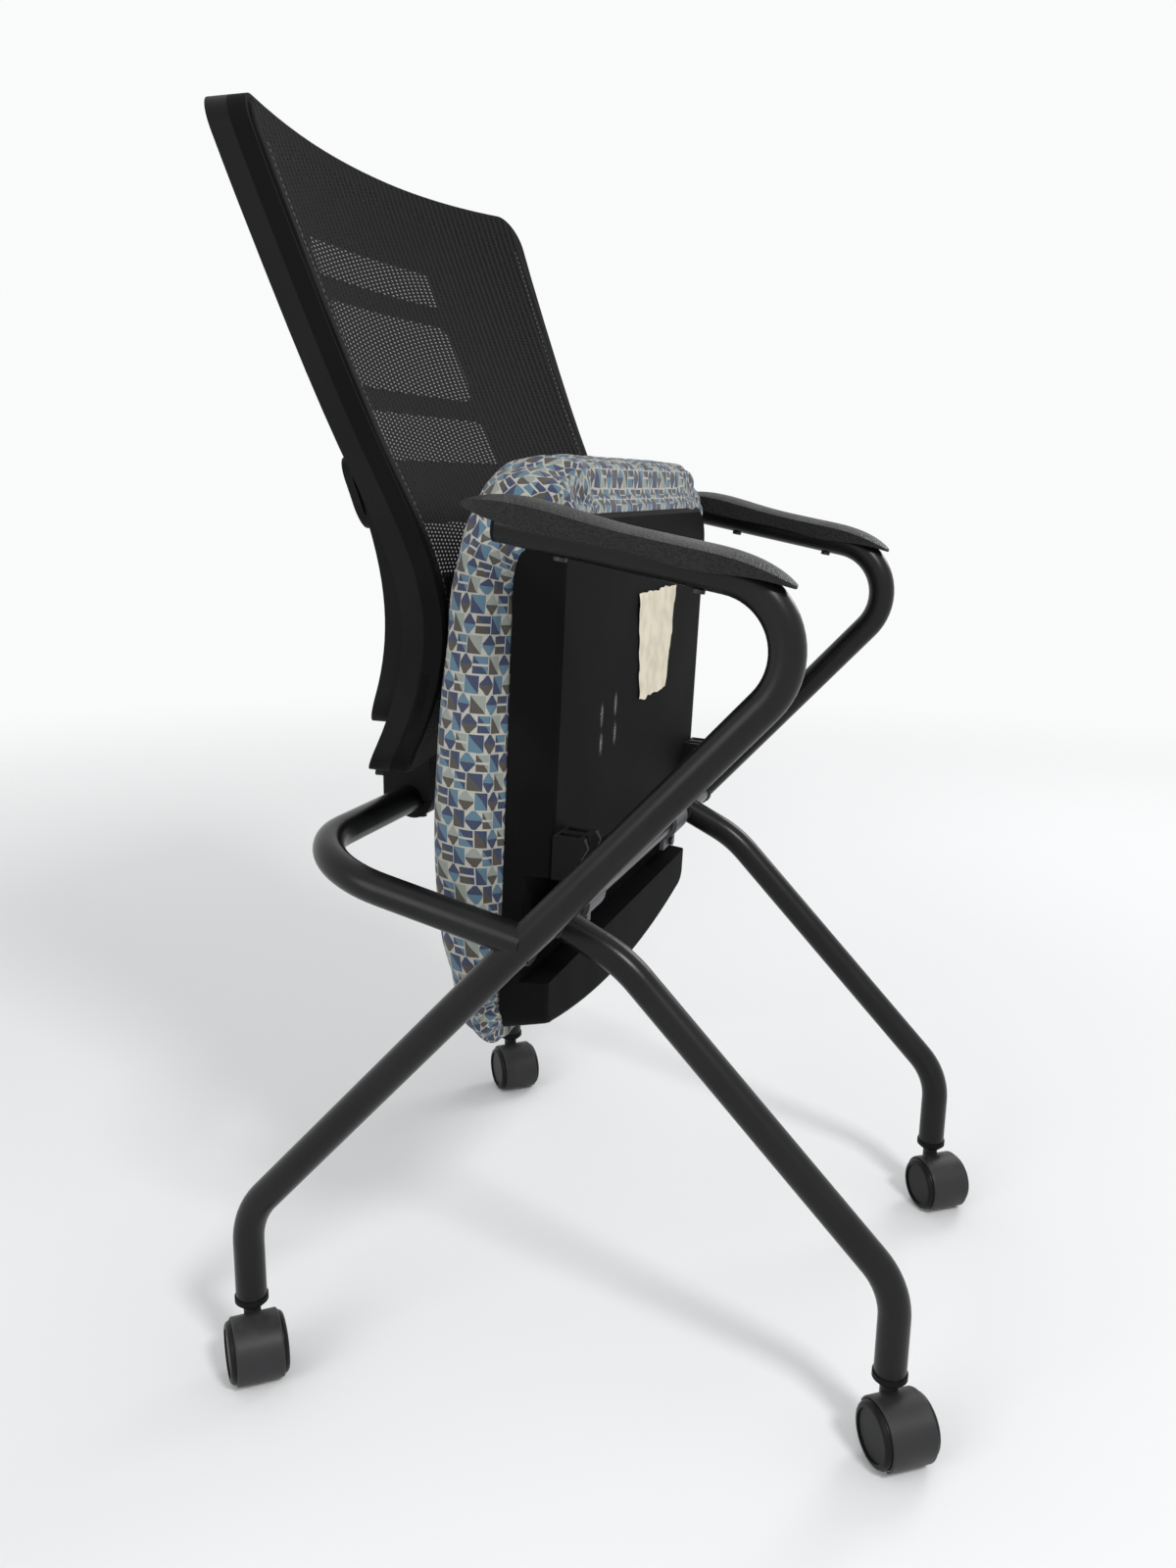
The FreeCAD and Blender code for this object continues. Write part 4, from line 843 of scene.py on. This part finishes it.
class CHAIR_OT_cushion(bpy.types.Operator):
    """Upholster the seat cushion: inflate its cover, gather its corners and print the cloth"""

    bl_idname = "chair.cushion"
    bl_label = "Seat cushion"

    # Outline in the seat's frame: half width, front and rear ends, corner roundings.
    half, fore, aft = 0.230, -0.348, 0.120
    front_round, rear_round = 0.100, 0.058
    plan_step, plan_turn = 0.012, 6
    # Section: lower edge, crown and its place, falls to the ends, roundings, belly of the wall.
    rim, height, crest = 0.0335, 0.0935, -0.100
    front_fall, rear_fall = 0.016, 0.028
    top_round, base_round, belly = 0.028, 0.010, 0.003
    crown_steps, crown_run = 5, 0.05
    # Front edge: level that the cover is drawn down to, where that begins and ends, turn-in beneath.
    lip, lip_start, lip_end = -0.001, -0.274, -0.306
    turn_in, lip_turn_in = 0.024, 0.016
    # Filling: frames and pressure of the cloth run, slack taken in before it, gap kept to the back.
    frames, pressure, quality = 20, 14.0, 5
    shrink, back_gap = 0.0015, 0.0012
    skin_factor, skin_rounds = 0.5, 4
    # Gathers: reach from the corners and the front edge, strength, heights where they fade, pleats.
    front_reach, rear_reach, edge_reach = 0.130, 0.090, 0.045
    corner_gain, edge_gain = 2.2, 0.35
    fade_low, fade_high = 0.045, 0.080
    pleats, pleat_drift, pleat_break, slack = 58, 3.0, 0.7, 0.16
    # Print, in shares of a repeat: reach of lozenges and tiles, place and size of the bars.
    lozenge_reach, tile_reach = 0.60, 0.46
    bar_place, bar_half, bar_reach = 0.25, 0.19, 0.47
    slub_colour, thread_shade = (0.30, 0.30, 0.29), (0.10, 0.10, 0.10)

    def execute(self, context):
        chair = settings()
        mesh = self.cover(context, chair.sizes)
        cushion = new_piece("seat_cover", mesh, self.printed_cloth(chair), "seat")
        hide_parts("seat_cushion")
        smooth = cushion.modifiers.new("soft_surface", "SUBSURF")
        smooth.levels = smooth.render_levels = 1
        return {"FINISHED"}

    def plan(self):
        """Points round the cushion seen from above, with their outward directions."""
        corners = [(1, self.fore, self.front_round, -90), (1, self.aft, self.rear_round, 0),
                   (-1, self.aft, self.rear_round, 90), (-1, self.fore, self.front_round, 180)]
        run = []
        for sign, end, rounding, start in corners:
            middle = Vector((sign * (self.half - rounding), end + math.copysign(rounding, -end), 0))
            for turn in range(start, start + 91, self.plan_turn):
                out = Vector((math.cos(math.radians(turn)), math.sin(math.radians(turn)), 0))
                run.append((middle + out * rounding, out))
        filled = []
        for (spot, out), (after, _) in zip(run, run[1:] + run[:1]):
            steps = max(1, round((after - spot).length / self.plan_step))
            filled += [(spot.lerp(after, step / steps), out) for step in range(steps)]
        return filled

    def top(self, y):
        """Height of the cushion's crown along its depth."""
        end, fall = (self.fore, self.front_fall) if y < self.crest else (self.aft, self.rear_fall)
        return self.height - fall * ((y - self.crest) / (end - self.crest)) ** 2

    def underside(self, y):
        """Level of the cover's lower edge along the cushion's depth."""
        return self.rim + (self.lip - self.rim) * ease(self.lip_start, self.lip_end, y)

    def section(self, spot, out):
        """Depth and height of the skin at one place of the plan, from the crown to the turn-in."""
        under = self.underside(spot.y)
        rounding, base = self.top_round, self.base_round
        crown = self.top(spot.y - out.y * rounding)
        steps = self.crown_steps
        section = [(rounding + (1 - step / steps) * self.crown_run, crown) for step in range(1, steps + 1)]
        for turn in range(15, 91, 15):
            angle = math.radians(turn)
            section.append((rounding * (1 - math.sin(angle)), crown - rounding * (1 - math.cos(angle))))
        section.append((-self.belly, (crown - rounding + under + base) / 2))
        for turn in range(0, 91, 30):
            angle = math.radians(turn)
            section.append((base * (1 - math.cos(angle)), under + base * (1 - math.sin(angle))))
        turned = self.turn_in + self.lip_turn_in * ease(self.lip_start, self.lip_end, spot.y)
        return section + [(turned, under)]

    def blank(self):
        """Closed skin of the cushion, drawn down over the shell's front edge."""
        sections = [[Vector((*(spot - out * depth).xy, height)) for depth, height in self.section(spot, out)]
                    for spot, out in self.plan()]
        points = [point for section in sections for point in section]
        rows, count = len(sections[0]), len(sections)
        faces = []
        for turn in range(count):
            start, after = turn * rows, (turn + 1) % count * rows
            faces += [(start + i, start + i + 1, after + i + 1, after + i) for i in range(rows - 1)]
            faces += [(len(points), start, after), (len(points) + 1, after + rows - 1, start + rows - 1)]
        points += [Vector((0, self.crest, self.height)), Vector((0, self.crest, self.rim))]
        return mesh_from("cushion_blank", [from_seat(point) for point in points], faces)

    def cover(self, context, sizes):
        """Cushion's skin, remeshed, inflated under pressure and gathered at the corners."""
        blank = add_object("cushion_blank", self.blank())
        remesh = blank.modifiers.new("even_cells", "REMESH")
        remesh.mode = "VOXEL"
        remesh.voxel_size = sizes.voxel
        even = blank.modifiers.new("even_skin", "SMOOTH")
        even.factor = self.skin_factor
        even.iterations = self.skin_rounds
        mesh = self.evaluated(context, blank, "seat_cover")
        blank.modifiers.clear()
        blank.data = mesh
        under = surface_of("seat_shell", "seat_board")
        held = [under.find_nearest(vertex.co)[3] < sizes.voxel for vertex in mesh.vertices]
        for vertex, fixed in zip(mesh.vertices, held):
            if not fixed:
                vertex.co -= vertex.normal * self.shrink
        self.inflate(context, blank, held, sizes.swell)
        flat = [to_seat(vertex.co) for vertex in mesh.vertices]
        set_attribute(mesh, "cloth_place", [self.cloth_place(point) for point in flat])
        self.gather(mesh, flat, sizes.fold)
        self.clear_back(mesh)
        bpy.data.objects.remove(blank)
        return mesh

    def clear_back(self, mesh):
        """Flatten the cover where it would press into the mesh of the back."""
        back = surface_of("back_mesh", "mesh_carrier")
        for vertex in mesh.vertices:
            ahead = met_from_front(back, vertex.co.x, vertex.co.z)
            if ahead:
                vertex.co.y = min(vertex.co.y, ahead.y - self.back_gap)

    @staticmethod
    def evaluated(context, piece, name):
        depsgraph = context.evaluated_depsgraph_get()
        mesh = bpy.data.meshes.new_from_object(piece.evaluated_get(depsgraph))
        mesh.name = name
        return mesh

    def inflate(self, context, piece, held, swell):
        """Let pressure swell the cover, with the underside held and each point's travel capped."""
        scene = context.scene
        pins = piece.vertex_groups.new(name="held")
        pins.add([index for index, fixed in enumerate(held) if fixed], 1.0, "REPLACE")
        cloth = piece.modifiers.new("cover", "CLOTH")
        cloth.settings.use_pressure = True
        cloth.settings.uniform_pressure_force = self.pressure
        cloth.settings.vertex_group_mass = "held"
        cloth.settings.effector_weights.gravity = 0.0
        cloth.settings.quality = self.quality
        cloth.point_cache.frame_start = 1
        cloth.point_cache.frame_end = self.frames
        for number in range(1, self.frames + 1):
            scene.frame_set(number)
        swollen = self.evaluated(context, piece, "swollen")
        for vertex, moved in zip(piece.data.vertices, swollen.vertices):
            travel = moved.co - vertex.co
            if travel.length > swell:
                travel *= swell / travel.length
            vertex.co += travel
        piece.modifiers.clear()
        scene.frame_set(1)

    def gather(self, mesh, flat, depth):
        """Gathers round the corners and along the front, deepest where the cover is drawn under."""
        normals = [vertex.normal.copy() for vertex in mesh.vertices]
        for vertex, normal, point in zip(mesh.vertices, normals, flat):
            aside = self.half - abs(point.x)
            front = max(0.0, 1 - math.hypot(aside, point.y - self.fore) / self.front_reach)
            rear = max(0.0, 1 - math.hypot(aside, self.aft - point.y) / self.rear_reach)
            edge = self.edge_gain * max(0.0, 1 - (point.y - self.fore) / self.edge_reach)
            drawn = max(min(1.0, self.corner_gain * max(front, rear)), edge)
            drawn *= 1 - ease(self.fade_low, self.fade_high, point.z)
            turn = math.atan2(point.y - self.crest, point.x)
            wave = math.sin(turn * self.pleats + self.pleat_drift * noise.noise(point * 20))
            wave += self.pleat_break * noise.noise(point * 85)
            slack = self.slack * noise.noise(point * 26)
            vertex.co += normal * depth * (drawn * wave + slack * ease(self.rim, self.rim + 0.01, point.z))

    def cloth_place(self, point):
        """Cloth coordinates that run over the top and down the walls at the cover's own length."""
        inside = min(max(point.y, self.fore + self.top_round), self.aft - self.top_round)
        drop = max(0.0, self.top(inside) - point.z)
        turn = math.acos(max(0.0, 1 - drop / self.top_round))
        run = self.top_round * (turn - math.sin(turn)) + max(0.0, drop - self.top_round)
        ahead = point.y < self.crest
        corner = self.front_round if ahead else self.rear_round
        past_side = abs(point.x) - self.half + corner
        past_end = (self.fore - point.y if ahead else point.y - self.aft) + corner
        out = Vector((max(past_side, 0.0), max(past_end, 0.0)))
        under = self.underside(point.y)
        tucked = ease(under + 1.6 * self.base_round, under + 0.3 * self.base_round, point.z)
        past_top = ease(0.6 * self.top_round, 1.2 * self.top_round, drop)
        run += (corner - out.length) * (past_top + tucked)
        if out.length == 0.0:
            out = Vector((past_side > past_end, past_side <= past_end))
        out = out.normalized() * run
        return point.x + math.copysign(out.x, point.x), point.y + (-out.y if ahead else out.y), 0.0

    def printed_cloth(self, chair):
        """Woven cloth with staggered lozenges, tiles and bars in four colours on a pale ground."""
        sizes, colours = chair.sizes, chair.colours
        material, tree, shader = new_material("geometric_cloth", Sheen_Weight=0.15, Specular_IOR_Level=0.3)
        place = read_attribute(tree, "cloth_place")
        x, y, _ = split_place(tree, place)
        along = y / sizes.motif_height
        row = along.math("FLOOR")
        across = x / sizes.motif_width + row * 0.5
        column = across.math("FLOOR")
        u = across - column - 0.5
        v = along - row - 0.5
        # Of eight steps, three are lozenges, three are tiles and two are bars.
        step = (column * 3.0 + row * 2.0).math("FLOORED_MODULO", 8.0)
        is_tile = step.above(2.5)
        is_bars = step.above(5.5)
        lozenge = (abs(u) + abs(v)).below(self.lozenge_reach)
        tile = abs(u).math("MAXIMUM", abs(v)).below(self.tile_reach)
        bars = abs(abs(v) - self.bar_place).below(self.bar_half) * abs(u).below(self.bar_reach)
        shape = lozenge * (is_tile * -1.0 + 1.0) + tile * (is_tile - is_bars) + bars * is_bars
        hue = (step + row).math("FLOORED_MODULO", 4.0)
        first = mix_colour(tree, hue.above(0.5), colours.navy, colours.taupe)
        second = mix_colour(tree, hue.above(1.5), first, colours.blue)
        third = mix_colour(tree, hue.above(2.5), second, colours.taupe)
        pale = mix_colour(tree, hue.above(0.5), colours.blue, colours.grey)
        lower = mix_colour(tree, hue.above(1.5), pale, colours.navy)
        split = mix_colour(tree, (v + u * is_tile).below(0.0), third, lower)
        motif = mix_colour(tree, shape, colours.ground, split)
        warp, weft = ((part * (math.pi / sizes.thread_pitch)).math("SINE") for part in (x, y))
        weave = abs(warp) * 0.6 + abs(weft) * 0.4
        slub = noise_field(tree, stretched(tree, place, (1.0, 12.0, 1.0)), 420.0, 3.0)
        woven = mix_colour(tree, slub.ramp(0.35, 0.75) * 0.12, motif, self.slub_colour)
        shaded = mix_colour(tree, (weave * -1.0 + 1.0) * 0.35, woven, self.thread_shade)
        set_surface(tree, shader, shaded, slub * 0.15 + 0.75, weave + slub * 0.4, 0.45, 0.0004)
        return material


class CHAIR_OT_casters(bpy.types.Operator):
    """Finish the caster hoods, wheels, stems and axles"""

    bl_idname = "chair.casters"
    bl_label = "Casters"

    line_scale = (60.0, 60.0, 2400.0)
    line_tone = 0.7

    def execute(self, context):
        colours, edge = settings().colours, settings().sizes.edge
        hood = hard_finish("caster_hood_moulding", colours.hood)
        dress(on_corners("caster_hood"), hood, edge)
        wheels = [f"wheel_{corner}_{letter}" for corner in CORNERS for letter in "ab"]
        dress(wheels, hard_finish("wheel_moulding", colours.wheel), edge)
        dress(on_corners("caster_stem", "caster_axle"), self.steel(colours.steel))
        return {"FINISHED"}

    def steel(self, colour):
        """Drawn steel with fine lines round the bar."""
        material, tree, shader = new_material("drawn_steel", Metallic=1.0)
        line = noise_field(tree, stretched(tree, object_place(tree), self.line_scale), 1.0, 3.0)
        tone = mix_colour(tree, line, colour, toned(colour, self.line_tone))
        set_surface(tree, shader, tone, line * 0.2 + 0.24)
        return material


class CHAIR_OT_fasteners(bpy.types.Operator):
    """Blacken the screws and bolts"""

    bl_idname = "chair.fasteners"
    bl_label = "Fasteners"

    def execute(self, context):
        chair = settings()
        dress(["pad_screws", "clamp_bolts", "bracket_screws", "strap_screws"],
              hard_finish("blackened_steel", chair.colours.screw), chair.sizes.edge)
        return {"FINISHED"}


class CHAIR_OT_stage(bpy.types.Operator):
    """Set the floor, the soft light and the camera"""

    bl_idname = "chair.stage"
    bl_label = "Stage"

    # Lamps: place and width; all look at the chair's middle.
    lamps = {"key_lamp": ((-1.5, -1.7, 2.6), 0.6), "fill_lamp": ((2.3, -1.0, 1.7), 1.2),
             "side_lamp": ((-2.4, 1.1, 1.4), 1.6)}
    chair_middle = Vector((0, 0, 0.45))
    # Floor: radius, sides, and where it has faded out and where the fading begins.
    floor_radius, floor_sides = 4.0, 96
    fade_out, fade_start = 3.4, 0.9
    floor_tone = 0.97
    backdrop = (0.955, 0.960, 0.965, 1.0)
    sensor_width, clip_start = 36.0, 0.05

    def execute(self, context):
        stage = settings().stage
        context.scene.view_settings.view_transform = "Standard"
        self.camera(context, stage)
        self.floor(stage)
        self.sky(context, stage)
        for name, (place, width) in self.lamps.items():
            self.lamp(name, place, stage.key if name == "key_lamp" else stage.fill, width)
        return {"FINISHED"}

    @staticmethod
    def aimed(name, data, place, ahead, roll=0.0):
        """Camera or lamp at a place, looking ahead."""
        item = add_object(name, data)
        aim = ahead.to_track_quat("-Z", "Y").to_matrix() @ Matrix.Rotation(roll, 3, "Z")
        item.matrix_world = Matrix.Translation(place) @ aim.to_4x4()
        return item

    def camera(self, context, stage):
        lens = bpy.data.cameras.new("photo_view")
        lens.sensor_width = self.sensor_width
        lens.lens = stage.focal_pixels * lens.sensor_width / max(PHOTO_SIZE)
        lens.clip_start = self.clip_start
        ahead = Vector((math.cos(stage.heading) * math.cos(stage.pitch),
                        math.sin(stage.heading) * math.cos(stage.pitch), -math.sin(stage.pitch)))
        context.scene.camera = self.aimed("photo_view", lens, stage.place, ahead, stage.roll)

    def floor(self, stage):
        """Round pale floor that fades out into the background."""
        shape = bmesh.new()
        bmesh.ops.create_circle(shape, cap_ends=True, segments=self.floor_sides, radius=self.floor_radius)
        mesh = bpy.data.meshes.new("floor")
        shape.to_mesh(mesh)
        shape.free()
        floor = add_object("floor", mesh)
        material, tree, shader = new_material("pale_floor", Roughness=0.85, Specular_IOR_Level=0.2)
        place = object_place(tree)
        east, north, _ = split_place(tree, place)
        reach = (east * east + north * north).math("SQRT")
        mottle = noise_field(tree, place, 3.0, 2.0)
        colour = mix_colour(tree, mottle * 0.3, stage.floor, toned(stage.floor, self.floor_tone))
        feed(tree, shader.inputs["Base Color"], colour)
        feed(tree, shader.inputs["Alpha"], reach.ramp(self.fade_out, self.fade_start))
        mesh.materials.append(material)

    def sky(self, context, stage):
        """Even light, and a near-white ground wherever the background itself is seen."""
        world = bpy.data.worlds.new("studio")
        context.scene.world = world
        world.use_nodes = True
        tree = world.node_tree
        background = next(node for node in tree.nodes if node.type == "BACKGROUND")
        rays = tree.nodes.new("ShaderNodeLightPath")
        seen = Field(tree, rays.outputs["Is Camera Ray"])
        for ray in ("Is Glossy Ray", "Is Transmission Ray"):
            seen = seen.math("MAXIMUM", rays.outputs[ray])
        background.inputs["Color"].default_value = self.backdrop
        feed(tree, background.inputs["Strength"], seen * (1.0 - stage.sky) + stage.sky)

    def lamp(self, name, place, power, width):
        light = bpy.data.lights.new(name, "AREA")
        light.shape = "DISK"
        light.size = width
        light.energy = power
        self.aimed(name, light, place, self.chair_middle - Vector(place))


OPERATORS = [CHAIR_OT_tubes, CHAIR_OT_mouldings, CHAIR_OT_arm_pads, CHAIR_OT_mesh_back, CHAIR_OT_cushion,
             CHAIR_OT_casters, CHAIR_OT_fasteners, CHAIR_OT_stage]


class CHAIR_PT_panel(bpy.types.Panel):
    """Lists the steps that dress the chair"""

    bl_idname = "CHAIR_PT_panel"
    bl_label = "Nesting chair"
    bl_space_type = "VIEW_3D"
    bl_region_type = "UI"
    bl_category = "Chair"

    def draw(self, context):
        for operator in OPERATORS:
            self.layout.operator(operator.bl_idname)


CLASSES = [ChairColours, ChairSizes, ChairStage, ChairSettings, *OPERATORS, CHAIR_PT_panel]


def register():
    for item in CLASSES:
        bpy.utils.register_class(item)
    bpy.types.Scene.nesting_chair = PointerProperty(type=ChairSettings)


def unregister():
    del bpy.types.Scene.nesting_chair
    for item in reversed(CLASSES):
        bpy.utils.unregister_class(item)


def main():
    register()
    for operator in OPERATORS:
        group, name = operator.bl_idname.split(".")
        getattr(getattr(bpy.ops, group), name)()
    bpy.context.view_layer.update()


if __name__ == "__main__":
    main()
